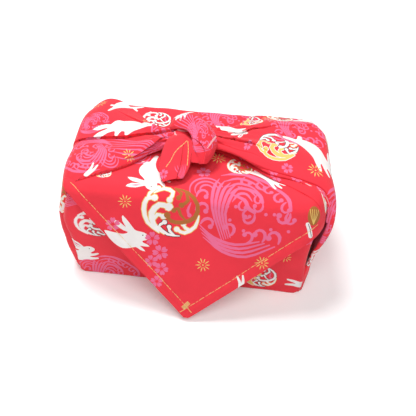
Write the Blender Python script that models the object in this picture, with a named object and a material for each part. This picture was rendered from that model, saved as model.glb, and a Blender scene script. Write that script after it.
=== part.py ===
"""Furoshiki wrap: one square of printed cotton folded and knotted round a box.

The cloth lies diamond-wise under the box.  Its near corner is taken up the front and
over the top, its rear corner comes forward over that one and hangs down the front as a
pointed flap, and its two side corners are gathered up the ends and tied on top.

Units in the tables are millimetres.  +X runs along the box, -Y is the front, +Z is up,
and the origin is the middle of the flat underside.
"""
import math

import bmesh
import bpy
import numpy as np

MM = 0.001

# Driving dimensions
TOP_HEIGHT = 93.0       # top panel above the table
FACE_RADIUS = 5.0       # upright corners of the wrapped box
SHOULDER_RADIUS = 11.0  # and of its rounded shoulders
FRONT = 57.5            # front face, ahead of the middle
SHEET = 2.0             # thickness of a hemmed layer that hangs free
LET_IN = 4.5            # how deep the edge of a fold that lies on the top is let in

FLAP_REACH = 38.0       # how far the flap's point stands in front of the front face
FLAP_TIP_HEIGHT = 3.0   # the flap's point above the table
FLAP_TIP_X = -1.5
FLAP_ROLL = 13.0        # radius of the flap's roll over the front top edge
FLAP_TOP_BACK = -6.0    # where the flap layer is let into the top panel (y)
FLAP_LEFT = 95.0        # the flap's width along the front top edge, left of the middle
FLAP_RIGHT = 90.2       # and right of it
FLAP_SPREADS = (1.0, 1.19)  # how much its left and right halves widen per millimetre
FLAP_WRAP_START = 76.0  # beyond this the flap turns back round the box's corners
FLAP_WRAP = 0.010       # how fast it turns back, per millimetre
FLAP_CURL_START = 80.0  # beyond this the hanging part's right end curls back as well
FLAP_CURL = 0.035       # how fast it curls back, per millimetre
FLAP_POINT = 1.6        # half of the flap's width at its blunt point
FLAP_PROUD = 0.3        # the flap's middle above the top panel
FLAP_EDGE_INSET = 1.5   # how far behind the front face the roll's sharp corner would be
FLAP_RIPPLE = 0.9       # height of the hanging part's slow ripples
FLAP_RIPPLE_RUN = 17.0  # width of one radian of a ripple
FLAP_RIPPLE_SHIFT = 0.6  # where the ripples start, in radians
FLAP_RIPPLE_FADE = 30.0  # drop over which the ripples grow from nothing
FLAP_ACROSS = 15        # points across the flap
FLAP_ON_TOP = 7         # points along the part on the top panel
FLAP_TURN_STEPS = 6     # steps round the roll
FLAP_DOWN = 14          # steps down the hanging part

CLOTH_RED = (0.87, 0.045, 0.06, 1.0)
CLOTH_ROUGHNESS = 0.85

# The wrapped box, a row for each level: its height, how far it reaches from the middle
# on each side, and its corner radius.  The cloth stands off the box at the upper left.
BOX_LEVELS = (
    # height, left, right, front, back, radius
    (0.0, 88.6, 86.4, FRONT - 0.5, 53.2, FACE_RADIUS - 1.0),
    (1.0, 89.4, 87.0, FRONT, 54.2, FACE_RADIUS - 0.5),
    (3.0, 89.9, 87.6, FRONT + 0.2, 54.8, FACE_RADIUS),
    (18.0, 91.4, 87.9, FRONT + 0.1, 55.2, FACE_RADIUS),
    (36.0, 95.0, 87.6, FRONT, 56.0, FACE_RADIUS),
    (52.0, 98.0, 88.0, FRONT, 56.3, FACE_RADIUS),
    (70.0, 97.0, 89.5, FRONT - 0.5, 56.0, 7.0),
    (80.0, 96.0, 90.5, FRONT - 1.0, 55.0, 9.5),
    (86.0, 94.5, 90.0, FRONT - 2.5, 53.0, SHOULDER_RADIUS),
    (90.5, 91.0, 87.5, FRONT - 5.5, 49.5, SHOULDER_RADIUS),
    (92.4, 87.0, 83.5, FRONT - 9.5, 45.5, SHOULDER_RADIUS),
    (TOP_HEIGHT, 82.0, 79.0, FRONT - 14.0, 40.0, SHOULDER_RADIUS),
)
CORNER_STEPS = 5
SIDE_STEPS_X = 8
SIDE_STEPS_Y = 5

# The two wings, a row for each section from the foot of the end face, up the end and
# over the top to the knot.  lean is the outward direction in degrees (0 is straight out
# of the end, 90 is up) and depth is how far the solid reaches in behind the middle of
# the section.  lip is 1 where the section's front edge stands free as one layer, and
# closed is 1 where the folds are drawn into one strand.  The points run across the
# wing from its front edge to its rear edge.
LEFT_WING = (
    # lean, depth, lip, closed, front edge, front roll, crease, rear roll, rear edge
    (0, 10, 0, 0, (-91.4, -50, 0.6), (-91.4, -30, 0.6), (-90, -5, 0.6), (-89.8, 25, 0.6), (-87.4, 48, 0.6)),
    (0, 12, 0, 0, (-99.4, -50.5, 27), (-98.6, -30, 28), (-96, -5, 28), (-96, 25, 28), (-91.5, 50.5, 28)),
    (0, 12, 0, 0, (-102.8, -50.5, 52), (-101.6, -31, 56), (-99, -6, 57), (-99, 24, 57), (-96, 51, 57)),
    (5, 12, 0, 0, (-101.8, -52.5, 71), (-101.8, -36, 78), (-100, -7, 80), (-100, 22, 80), (-95, 49, 80)),
    (40, 11, 0, 0, (-97.5, -52.5, 86), (-98.5, -35, 94), (-98, -7, 92), (-96, 22, 95), (-90.5, 45, 91)),
    (80, 10, 0, 0, (-88, -50.5, 93), (-88, -31, 99.5), (-89, -6, 96.5), (-86, 20, 101), (-82, 45, 97)),
    (90, 10, 0, 0, (-75, -44.5, 95.6), (-75, -27, 101), (-76, -6.5, 97.5), (-74, 16, 102), (-72, 39, 97)),
    (90, 10, 0, 0, (-61, -36.5, 96.2), (-62, -22, 102), (-63, -6.5, 99), (-61, 10, 103), (-60, 29, 97.5)),
    (90, 10, 0, 0, (-48, -27.5, 97), (-48, -17, 104), (-50, -6, 101.5), (-48, 5, 104.5), (-47, 17, 99)),
    (90, 10, 0, 0.7, (-37, -17.5, 98), (-37, -12, 106), (-38, -5, 104), (-37, 1, 106), (-36, 8, 100)),
    (90, 10, 0, 1, (-26, -12.5, 101), (-26, -9.5, 107), (-26, -5, 107.5), (-26, -1, 107), (-26, 3, 101)),
    (90, 10, 0, 1, (-14, -12.5, 101), (-14, -9.5, 108), (-14, -5, 109.5), (-14, -1, 108), (-14, 3, 101)),
)
RIGHT_WING = (
    # lean, depth, lip, closed, inner fold edge, inner fold, valley, front roll,
    # crown, crease, rear roll, rear edge
    (0, 10, 1, 0, (86, -53.5, 0.6), (87.4, -53, 0.6), (88.6, -51.5, 0.6), (89.6, -46, 0.6),
     (89, -20, 0.6), (88.6, 5, 0.6), (88.8, 28, 0.6), (86, 49, 0.6)),
    (0, 11, 1, 0, (89.6, -53, 22), (90.4, -54, 22), (91.6, -54, 22), (93.4, -49, 22),
     (94, -20, 22), (92.5, 5, 22), (93, 28, 22), (88.2, 50.5, 22)),
    (0, 11, 1, 0, (91.4, -53, 43), (92.4, -54.5, 43), (93.6, -55, 43), (95.6, -50, 43),
     (96, -22, 44), (94.5, 5, 44), (95, 28, 44), (90, 51.5, 44)),
    (0, 12, 1, 0, (93.5, -53, 60), (95, -55, 60), (97, -55.5, 60), (100.5, -50, 60),
     (98.5, -22, 62), (96.5, 5, 62), (97, 28, 62), (91.5, 51.5, 62)),
    (5, 12, 1, 0, (94.5, -53, 73), (97, -55.5, 74), (98.8, -55, 75), (101.5, -48, 75),
     (100, -22, 78), (98.5, 6, 78), (98.5, 28, 78), (92.5, 49.5, 78)),
    (35, 11, 0.6, 0, (93, -53, 84), (95, -50.5, 88), (96, -45, 88), (99, -40, 88.5),
     (99, -18, 92), (98, 6, 91.5), (97, 26, 93), (90, 45, 90)),
    (75, 10, 0, 0, (87, -51, 91.5), (88, -46, 95.5), (88.5, -39.5, 93.5), (90, -36.5, 96),
     (91, -14, 99.5), (91, 8, 97), (90, 26, 100.5), (85, 44, 97)),
    (90, 10, 0, 0, (78, -45, 94.8), (79, -39, 97), (79, -33.5, 94.8), (79, -31, 98),
     (79, -10, 102), (79, 12, 99), (79, 27, 102), (77, 45, 96)),
    (90, 9, 0, 0, (66, -36, 95), (66, -32, 97), (66, -28.5, 95.6), (66, -26, 99),
     (66, -8, 103.5), (66, 12, 100), (66, 27, 102), (64, 46, 95.5)),
    (90, 7, 0, 0, (52, -28, 95.5), (52, -27, 96.8), (52, -25.8, 97.5), (52, -24, 100.5),
     (52, -8, 105), (52, 8, 101.5), (52, 23, 103), (50, 45, 95.5)),
    (90, 5, 1, 0.5, (38, -22.8, 98.4), (38, -22.6, 99.4), (38, -22.2, 100.7), (38, -21, 103),
     (38, -8, 107), (38, 6, 104), (38, 17, 105), (38, 40, 98)),
    (90, 4.5, 1, 1, (26, -18.2, 101), (26, -18.1, 102), (26, -17.8, 103), (26, -17, 105),
     (26, -7, 109), (26, 5, 106.5), (26, 12, 107), (27, 22, 102.5)),
    (90, 6, 1, 1, (15, -15.2, 101.3), (15, -15.1, 102.3), (15, -14.9, 103.5), (15, -14, 106),
     (15, -6, 110), (15, 2, 108.5), (15, 7, 108), (15, 13, 102.5)),
    (90, 6, 1, 1, (4, -14.2, 101.3), (4, -14.1, 102.5), (4, -13.9, 104), (4, -13, 107),
     (4, -6, 111), (4, 0, 110.5), (4, 5, 109), (4, 10, 102.3)),
)
WING_ACROSS = 25        # points across a wing
WING_ALONG = 3          # steps between two sections of a wing
CURVE_STEPS = 8         # steps between two points of a section, before they are evened out
EDGE_SHARE = 0.16       # share of the wing's width, at each edge, over which it thickens
EDGE_THIN = 0.4         # part of that share that stays one layer thick
STRAND_SAG = 1.0        # how far a closed strand's underside hangs below its edges

# The strap of the knot with the right-hand tail it ends in, and the left-hand tail.
# A row for each section: its two edges, the rise of its crown and its depth below.
STRAP = (
    # rear edge, front edge, rise, depth
    ((-19, 15, 101), (-28, 3, 101), 1.0, 5.0),
    ((-17, 15, 111), (-25, -2, 109), 3.0, 6.0),
    ((-9, 9, 117), (-18, -12, 115), 4.0, 7.0),
    ((-1, 0, 117.5), (-11, -18, 115.5), 4.0, 7.0),
    ((7, -9, 114), (-8, -22, 112), 4.0, 6.0),
    ((9.5, -17, 109.5), (-5.5, -26, 108.5), 3.0, 4.0),
    ((7, -24, 105), (-3.5, -28.5, 104.5), 2.0, 2.5),
    ((2.5, -30, 101), (-1.5, -31, 101), 0.8, 1.4),
)
TAIL = (
    ((-8, -11, 108), (-24, -7, 105), 2.0, 3.0),
    ((-8, -18, 111), (-27, -14, 107), 2.5, 3.0),
    ((-8, -26, 107.5), (-29.5, -24, 104.5), 2.2, 2.0),
    ((-9, -34.5, 101.6), (-30, -34, 100.6), 1.8, 1.6),
    ((-10.8, -40, 98.6), (-29, -42.5, 97.8), 1.4, 1.8),
    ((-13.2, -44.4, 96), (-26, -48.8, 95.4), 1.0, 2.4),
)
KNOT_CENTRE = (-7, -4, 104)
KNOT_RADII = (19, 15, 11.5)
KNOT_POLE = 12.0        # angle at which the heart's top and bottom are cut flat
KNOT_LEVELS = 9
KNOT_AROUND = 18
PAD_ACROSS = 9          # points across a pad
PAD_ALONG = 3           # steps between two sections of a pad
PAD_EDGE = 1.0          # half thickness of a pad at its edges
SHARP_ANGLE = 40.0      # a fold tighter than this reads as a crease


def spline(points, steps):
    """Smooth curve through the points, with the given number of steps between them."""
    knots = np.asarray(points, float)
    padded = np.concatenate(([2 * knots[0] - knots[1]], knots, [2 * knots[-1] - knots[-2]]))
    curve = []
    for index in range(len(knots) - 1):
        before, start, end, after = padded[index:index + 4]
        for step in range(steps):
            t = step / steps
            curve.append(0.5 * (2 * start + (end - before) * t
                                + (2 * before - 5 * start + 4 * end - after) * t * t
                                + (3 * start - before - 3 * end + after) * t ** 3))
    curve.append(knots[-1])
    return np.array(curve)


def evenly(curve, count):
    """The same curve with points at even distances along it."""
    lengths = np.linalg.norm(np.diff(curve, axis=0), axis=1)
    along = np.concatenate(([0.0], np.cumsum(lengths)))
    places = np.linspace(0.0, along[-1], count)
    return np.stack([np.interp(places, along, curve[:, axis]) for axis in range(3)], axis=1)


def loft(name, rings):
    """Closed solid through rings of equal length, with a face over each end."""
    mesh = bmesh.new()
    grid = [[mesh.verts.new(point * MM) for point in ring] for ring in rings]
    for lower, upper in zip(grid, grid[1:]):
        for index in range(len(lower)):
            after = (index + 1) % len(lower)
            mesh.faces.new((lower[index], lower[after], upper[after], upper[index]))
    mesh.faces.new(grid[0])
    mesh.faces.new(grid[-1])
    bmesh.ops.triangulate(mesh, faces=mesh.faces)
    bmesh.ops.recalc_face_normals(mesh, faces=mesh.faces)
    if mesh.calc_volume(signed=True) < 0:
        bmesh.ops.reverse_faces(mesh, faces=mesh.faces)
    data = bpy.data.meshes.new(name)
    mesh.to_mesh(data)
    mesh.free()
    solid = bpy.data.objects.new(name, data)
    bpy.context.scene.collection.objects.link(solid)
    return solid


def rounded_rectangle(height, left, right, front, back, radius):
    """Ring of points round a rectangle with round corners."""
    corners = ((right, back), (-left, back), (-left, -front), (right, -front))
    ring = []
    for number, (corner_x, corner_y) in enumerate(corners):
        centre_x = corner_x - math.copysign(radius, corner_x)
        centre_y = corner_y - math.copysign(radius, corner_y)
        for step in range(CORNER_STEPS + 1):
            turn = math.radians(90 * (number + step / CORNER_STEPS))
            ring.append((centre_x + radius * math.cos(turn), centre_y + radius * math.sin(turn)))
        start = np.array(ring[-1])
        next_x, next_y = corners[(number + 1) % 4]
        if next_x != corner_x:
            run, steps = (next_x - math.copysign(radius, next_x) - start[0], 0), SIDE_STEPS_X
        else:
            run, steps = (0, next_y - math.copysign(radius, next_y) - start[1]), SIDE_STEPS_Y
        for step in range(1, steps):
            ring.append(tuple(start + np.array(run) * step / steps))
    return np.array([(x, y, height) for x, y in ring])


def wrapped_box():
    """The cloth drawn tight round the box, flat underneath and slightly barrelled."""
    return loft("box_body", [rounded_rectangle(*level) for level in BOX_LEVELS])


def flap_profile():
    """Middle line of the flap, as (y, z) from the top panel over the edge to the point."""
    tip = np.array((-FRONT - FLAP_REACH, FLAP_TIP_HEIGHT))
    top = TOP_HEIGHT + FLAP_PROUD
    slope = math.atan2(top - FLAP_TIP_HEIGHT, FLAP_REACH)
    turn_start = -FRONT + FLAP_EDGE_INSET + FLAP_ROLL * math.tan(slope / 2)
    profile = [(y, top) for y in np.linspace(FLAP_TOP_BACK, turn_start, FLAP_ON_TOP)]
    for step in range(1, FLAP_TURN_STEPS + 1):
        turn = slope * step / FLAP_TURN_STEPS
        profile.append((turn_start - FLAP_ROLL * math.sin(turn), top - FLAP_ROLL * (1 - math.cos(turn))))
    edge = np.array(profile[-1])
    for step in range(1, FLAP_DOWN + 1):
        profile.append(tuple(edge + (tip - edge) * step / FLAP_DOWN))
    return np.array(profile)


def flap():
    """The hanging corner: a pointed sheet over the front top edge."""
    profile = flap_profile()
    lengths = np.linalg.norm(np.diff(profile, axis=0), axis=1)
    to_tip = lengths.sum() - np.concatenate(([0.0], np.cumsum(lengths)))
    tangents = np.gradient(profile, axis=0)
    tangents /= np.linalg.norm(tangents, axis=1)[:, None]
    rings = []
    for (y, z), (run, drop), reach in zip(profile, tangents, to_tip):
        left = min(FLAP_LEFT, reach * FLAP_SPREADS[0] + FLAP_POINT)
        right = min(FLAP_RIGHT, reach * FLAP_SPREADS[1] + FLAP_POINT)
        hangs = min(1.0, max(0.0, (TOP_HEIGHT - z) / FLAP_RIPPLE_FADE))
        out_y, out_z = drop * SHEET / 2, -run * SHEET / 2
        upper, lower = [], []
        for x in np.linspace(FLAP_TIP_X - left, FLAP_TIP_X + right, FLAP_ACROSS):
            lift = FLAP_RIPPLE * hangs * math.sin(x / FLAP_RIPPLE_RUN + FLAP_RIPPLE_SHIFT)
            lift -= FLAP_WRAP * max(0.0, abs(x) - FLAP_WRAP_START) ** 2
            lift -= FLAP_CURL * hangs * max(0.0, x - FLAP_CURL_START) ** 2
            upper.append((x, y + out_y - lift * abs(drop), z + out_z + lift * abs(run)))
            lower.append((x, y - out_y - lift * abs(drop), z - out_z + lift * abs(run)))
        rings.append(np.array(upper + lower[::-1]))
    return loft("flap", rings)


def wing(name, table, side):
    """A gathered side corner, drawn up the end of the box and over the top."""
    sections = []
    for row in table:
        across = evenly(spline(row[4:], CURVE_STEPS), WING_ACROSS)
        sections.append(np.concatenate((across.ravel(), row[:4])))
    sections = spline(sections, WING_ALONG)
    sheet = sections[:, :-4].reshape(len(sections), WING_ACROSS, 3)
    inside = -side * np.cross(np.gradient(sheet, axis=1), np.gradient(sheet, axis=0))
    inside /= np.linalg.norm(inside, axis=2)[:, :, None]
    rings = []
    for outer, normals, (lean, depth, lip, closed) in zip(sheet, inside, sections[:, -4:]):
        lean = math.radians(lean)
        inward = -np.array((side * math.cos(lean), 0.0, math.sin(lean)))
        inner = []
        for index in range(WING_ACROSS - 1, -1, -2):
            place = index / (WING_ACROSS - 1)
            share = min(1.0, max(0.0, min(place, 1 - place) / EDGE_SHARE - EDGE_THIN))
            loose = lip if place < 0.5 else lip * closed
            free = loose * (1 - share)
            edge = SHEET * loose + LET_IN * (1 - loose)
            way = normals[index] * free + inward * (1 - free)
            behind = outer[index] + way * (edge + (depth - edge) * share)
            sag = STRAND_SAG * (1.0 + math.sin(math.pi * place))
            under = outer[0] + (outer[-1] - outer[0]) * place + inward * sag
            inner.append(behind + (under - behind) * closed)
        rings.append(np.array(list(outer) + inner))
    return loft(name, rings)


def pad(name, table):
    """Soft strip of cloth between two edges, crowned above and below."""
    rows = spline([row[0] + row[1] + row[2:] for row in table], PAD_ALONG)
    middles = (rows[:, 0:3] + rows[:, 3:6]) / 2
    travel = np.gradient(middles, axis=0)
    rings = []
    for row, direction in zip(rows, travel):
        edge_a, edge_b, rise, depth = row[0:3], row[3:6], row[6], row[7]
        up = np.cross(edge_b - edge_a, direction)
        up /= np.linalg.norm(up)
        over, under = [], []
        for step in range(PAD_ACROSS):
            place = step / (PAD_ACROSS - 1)
            point = edge_a + (edge_b - edge_a) * place
            crown = math.sin(math.pi * place)
            over.append(point + up * (PAD_EDGE + rise * crown))
            under.append(point - up * (PAD_EDGE + depth * crown))
        rings.append(np.array(over + under[::-1]))
    return loft(name, rings)


def knot_heart():
    """The tightly drawn middle of the knot."""
    rings = []
    for polar in np.linspace(KNOT_POLE, 180 - KNOT_POLE, KNOT_LEVELS):
        level, girth = math.cos(math.radians(polar)), math.sin(math.radians(polar))
        rings.append(np.array([
            (KNOT_CENTRE[0] + KNOT_RADII[0] * girth * math.cos(turn),
             KNOT_CENTRE[1] + KNOT_RADII[1] * girth * math.sin(turn),
             KNOT_CENTRE[2] + KNOT_RADII[2] * level)
            for turn in np.linspace(0, 2 * math.pi, KNOT_AROUND, endpoint=False)]))
    return loft("knot_heart", rings)


def cotton():
    """Plain finish of the cloth."""
    material = bpy.data.materials.new("printed_cotton")
    material.use_nodes = True
    shader = material.node_tree.nodes["Principled BSDF"]
    shader.inputs["Base Color"].default_value = CLOTH_RED
    shader.inputs["Roughness"].default_value = CLOTH_ROUGHNESS
    shader.inputs["Metallic"].default_value = 0.0
    return material


def keep_outer_shell(mesh):
    """Fill the pockets that the folds shut in, which a filled bundle doesn't have."""
    unseen, shells = set(mesh.verts), []
    while unseen:
        shell, edge = set(), [unseen.pop()]
        while edge:
            vertex = edge.pop()
            shell.add(vertex)
            near = {link.other_vert(vertex) for link in vertex.link_edges} & unseen
            unseen -= near
            edge.extend(near)
        shells.append(shell)
    outer = max(shells, key=len)
    bmesh.ops.delete(mesh, geom=[v for v in mesh.verts if v not in outer], context="VERTS")


def joined(name, base, others):
    """One closed cloth from the folded parts, with no seam left between them."""
    for other in others:
        union = base.modifiers.new(other.name, "BOOLEAN")
        union.operation = "UNION"
        union.solver = "EXACT"
        union.use_self = True
        union.object = other
        other.hide_render = True
        other.display_type = "WIRE"
    evaluated = base.evaluated_get(bpy.context.evaluated_depsgraph_get())
    mesh = bmesh.new()
    mesh.from_mesh(evaluated.to_mesh())
    evaluated.to_mesh_clear()
    bmesh.ops.triangulate(mesh, faces=mesh.faces)
    keep_outer_shell(mesh)
    data = bpy.data.meshes.new(name)
    mesh.to_mesh(data)
    mesh.free()
    data.shade_smooth()
    data.set_sharp_from_angle(angle=math.radians(SHARP_ANGLE))
    cloth = bpy.data.objects.new(name, data)
    bpy.context.scene.collection.objects.link(cloth)
    for part in [base] + others:
        bpy.data.objects.remove(part, do_unlink=True)
    return cloth


def main():
    for thing in list(bpy.data.objects):
        bpy.data.objects.remove(thing, do_unlink=True)
    folded_parts = [
        flap(),
        wing("left_wing", LEFT_WING, -1),
        wing("right_wing", RIGHT_WING, 1),
        knot_heart(),
        pad("strap_and_right_tail", STRAP),
        pad("left_tail", TAIL),
    ]
    cloth = joined("furoshiki_cloth", wrapped_box(), folded_parts)
    cloth.data.materials.append(cotton())


main()
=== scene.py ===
"""Looks of a furoshiki wrap: one printed cotton square folded and knotted round a box.

Every visible fold is a piece of one thin cloth.  A piece is laid over a grid of points and
has flat coordinates in millimetres, (across, along), in which its print is cut out.
Lengths in the tables are millimetres; +X runs along the box, -Y is the front, +Z is up.
"""

import math

import bpy
import numpy as np
from mathutils import Matrix, Vector
from mathutils.geometry import delaunay_2d_cdt

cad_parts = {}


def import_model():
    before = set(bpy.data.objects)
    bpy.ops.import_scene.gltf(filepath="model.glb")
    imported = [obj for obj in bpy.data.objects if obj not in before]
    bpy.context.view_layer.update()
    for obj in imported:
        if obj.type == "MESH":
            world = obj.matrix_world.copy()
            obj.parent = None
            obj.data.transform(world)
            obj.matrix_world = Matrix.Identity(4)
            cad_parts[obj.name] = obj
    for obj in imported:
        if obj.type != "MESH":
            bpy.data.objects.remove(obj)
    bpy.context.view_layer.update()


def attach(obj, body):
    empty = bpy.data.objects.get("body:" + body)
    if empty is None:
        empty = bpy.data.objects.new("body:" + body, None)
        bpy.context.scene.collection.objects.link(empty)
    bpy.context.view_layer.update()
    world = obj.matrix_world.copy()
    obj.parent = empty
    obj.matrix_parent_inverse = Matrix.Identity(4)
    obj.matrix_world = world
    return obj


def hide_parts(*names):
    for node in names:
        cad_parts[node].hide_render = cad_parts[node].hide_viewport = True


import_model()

MM = 0.001
ROW_SHARE = 0.87         # rows of points in the flat cloth, in shares of their spacing
MERGE = 1e-5             # points of the flat cloth that are closer are one

# Print colours, in the order of the cloth's material slots; pale is print and also painted
# highlight along edges
RED, PINK, WHITE, GOLD, BROWN, DARK, PALE_PRINT_AND_HIGHLIGHT = range(7)
COLOURS = (
    # name, linear colour
    ("red", (0.88, 0.035, 0.058)),
    ("pink", (0.86, 0.155, 0.31)),
    ("white", (0.92, 0.88, 0.86)),
    ("gold", (0.86, 0.60, 0.17)),
    ("brown", (0.45, 0.15, 0.035)),
    ("dark", (0.06, 0.02, 0.02)),
    ("pale", (0.90, 0.48, 0.50)),
)

# The wrapped box
TOP = 93.0
FRONT = 57.5
BOX_CORNER = 11.0
BOX_LEVELS = (
    # height, left, right, back
    (0.3, 87.3, 86.3, 53), (1.2, 88, 86.8, 54), (3, 88.6, 87, 54.6), (18, 91, 87, 55.2),
    (36, 95, 87.2, 56), (52, 98, 88, 56.3), (70, 97, 89.5, 56), (80, 96, 90.5, 55),
    (86, 94.5, 90, 53), (90.5, 91, 87.5, 49.5),
)

# The near corner folded up over the front face, and how it runs back onto the ends
FACE_LEVELS = (
    # height, left, right, front at the left, front at the right, corner radius
    (0.3, 89.4, 86, 55.8, 58.8, 4), (1.2, 90.2, 87, 56.4, 59.2, 4), (3, 90.6, 87.8, 56.6, 59.4, 4),
    (18, 91.6, 88.4, 56.9, 58.8, 4), (32, 93.8, 87.8, 57.2, 58.2, 4),
    (45, 97, 87.8, 57.5, 57.6, 4), (57, 99.4, 88.4, 57.5, 57.4, 4), (70, 98, 89.5, 57, 57, 5),
    (80, 96.3, 90.3, 56.5, 56.5, 6), (86, 94.5, 90, 55, 55, 8), (90.5, 91, 87.5, 52, 52, 9),
)
FACE_LEAN = (-3.0, 2.0)   # how far each end run spreads out by its rear edge
END_LAP = 40.0           # how far it laps round onto the ends

# The rear corner, which comes over the box from behind
PANEL_SIDES = (-104, 100)    # where its grid ends across
PANEL_ENDS = (81.0, 77.0)    # where it starts to bend down over the left and right end
PANEL_BEND = 12.0            # radius of that bend
PANEL_STEP = 1.6             # between the rows of its grid
BACK_EDGE = 36.0             # where the top starts to turn down the back
FREE_FROM = (45.0, 12.0)     # how far in front it leaves the box's ends, over what length

# The hanging corner
FLAP_REACH = 38.0        # how far its point stands in front of the front face
FLAP_TIP_HEIGHT = 3.6
FLAP_TIP_X = -1.5
FLAP_ROLL = 13.0         # radius over the front top edge
FLAP_POINT = 1.6
FLAP_SLOPES = (1.0, 0.84)   # rise of its left and right hems
FLAP_BENDS = ((77.5, 0.010), (80.0, 0.050))   # where each side starts to curve back, how fast
FLAP_WAVE = (0.9, 17.0, 0.6)   # depth, length and phase of the slow wave across it
WAVE_RISE = 30.0         # how far below the top the wave is full
FLAP_END = 130.0         # how far up the panel its hems can reach
HEM_WIDTH = 8.0
HEM_REACHES = (97.0, 94.0)   # how far along each side of the flap the hem is shaped
STITCH_INSET = 7.4       # the hem's sewing, in from its folded edge
HEM_PADDING = (0.38, 2.8)    # how far the hem's layers lift the cloth, over what width
STITCH_DRAW = (0.30, 0.8)    # how far its sewing draws it in, over what width
HEM_ROLL = 0.45          # radius of the hem's folded edge
HEM_TURNS = (-0.4, 0.0, 0.6, 1.2, 1.8, 2.4, 3.0, 3.5)   # places round the fold, in radians
HIDDEN_SPACING = 8.0     # size of the triangles of layers that don't show
INNER_LAYER = 2.2        # how far the second layer of a gathered corner lies inside

# The two gathered side corners, a row for each section from the foot of the end face up
# and over the top to the knot, with points across it from the front edge to the rear.
LEFT_WING = (
    # front edge, front fold, front roll, crease, rear roll, rear edge
    ((-88, -51, 0.6), (-93, -48, 0.6), (-92, -30, 0.6),
     (-90, -5, 0.6), (-89.2, 25, 0.6), (-87, 48, 0.6)),
    ((-93.5, -51.5, 25), (-99.8, -48.5, 25), (-98.5, -30, 28),
     (-96, -5, 28), (-96, 25, 28), (-91.5, 50.5, 28)),
    ((-98, -51, 50), (-103.8, -48.5, 50.5), (-102, -31, 56),
     (-99, -6, 57), (-99, 24, 57), (-96, 51, 57)),
    ((-97.6, -52, 70), (-102.2, -50, 71), (-102, -36, 78),
     (-100, -7, 80), (-100, 22, 80), (-95, 49, 80)),
    ((-95.5, -51.5, 85), (-98, -46, 88.5), (-98.5, -35, 94),
     (-98, -7, 92), (-96, 22, 95), (-90.5, 45, 91)),
    ((-88, -50.5, 93), (-88, -43, 96.8), (-88, -31, 99.5),
     (-89, -6, 96.5), (-86, 21, 101.4), (-81.5, 44.5, 98.4)),
    ((-75, -44.5, 95.6), (-75, -37, 99), (-75, -27, 101),
     (-76, -6.5, 97.5), (-74, 19, 102.6), (-70.5, 43, 98.2)),
    ((-61, -36.5, 96.2), (-61.5, -30, 99.8), (-62, -22, 102),
     (-63, -6.5, 99), (-60.5, 12, 103.4), (-58.5, 33.5, 98.4)),
    ((-48, -27.5, 97), (-48, -23, 101.4), (-48, -17, 104),
     (-50, -6, 101.5), (-48, 6, 104.6), (-47, 20, 99.6)),
    ((-37, -17.5, 98), (-37, -15.4, 102.6), (-37, -12, 106),
     (-38, -5, 104), (-37, 1, 106), (-36, 8, 100)),
    ((-26, -12.5, 101), (-26, -11.4, 104.6), (-26, -9.5, 107),
     (-26, -5, 107.5), (-26, -1, 107), (-26, 3, 101)),
    ((-14, -12.5, 101), (-14, -11.4, 105), (-14, -9.5, 108),
     (-14, -5, 109.5), (-14, -1, 108), (-14, 3, 101)),
)
RIGHT_WING = (
    # front edge, front roll, crown, crease, rear roll, rear edge
    ((86.5, -56.6, 0.6), (89.8, -50, 0.6), (89, -20, 0.6),
     (88.6, 5, 0.6), (88.8, 28, 0.6), (86, 49, 0.6)),
    ((89.2, -56, 20), (92.6, -50, 22), (93, -20, 22),
     (92.5, 5, 22), (93, 28, 22), (88.2, 50.5, 22)),
    ((91.6, -54, 38), (93.6, -50, 40), (94.6, -22, 44),
     (94.5, 5, 44), (95, 28, 44), (90, 51.5, 44)),
    ((95.8, -53, 56), (99.6, -50, 58), (98.5, -22, 62),
     (96.5, 5, 62), (97, 28, 62), (91.5, 51.5, 62)),
    ((98, -51.5, 72), (102.4, -48, 75), (100, -22, 78),
     (98.5, 6, 78), (98.5, 28, 78), (92.5, 49.5, 78)),
    ((97, -41.8, 88.6), (99.8, -36, 90), (99, -18, 93), (98, 6, 91.5), (97, 26, 93), (90, 45, 90)),
    ((89.8, -36.6, 95), (90.2, -31, 97.4), (91, -14, 99.5),
     (91, 8, 97), (90, 27, 99.5), (85, 47.5, 93.5)),
    ((79, -33.4, 97.8), (79, -27.6, 99.8), (79, -10, 102),
     (79, 12, 99), (79, 30, 100), (77, 49, 92)),
    ((66, -29.8, 98.8), (66, -23.4, 101.2), (66, -8, 103.5),
     (66, 12, 100), (66, 31, 99.5), (64, 49.5, 92)),
    ((52, -27.4, 100.4), (52, -21.5, 102.8), (52, -8, 105),
     (52, 8, 101.5), (52, 27, 101), (50, 48, 93.5)),
    ((38, -23.6, 102.6), (38, -18.5, 104.8), (38, -8, 107),
     (38, 6, 104), (38, 18, 104), (38, 42, 96)),
    ((26, -18.8, 104.6), (26, -14.6, 106.6), (26, -7, 109),
     (26, 5, 106.5), (26, 12, 107), (27, 22, 102.5)),
    ((15, -14.6, 104.8), (15, -12, 107), (15, -6, 110),
     (15, 2, 108.5), (15, 7, 108), (15, 13, 102.5)),
    ((4, -13.4, 105.8), (4, -11, 108), (4, -6, 111), (4, 0, 110.5), (4, 5, 109), (4, 10, 102.3)),
)
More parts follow.
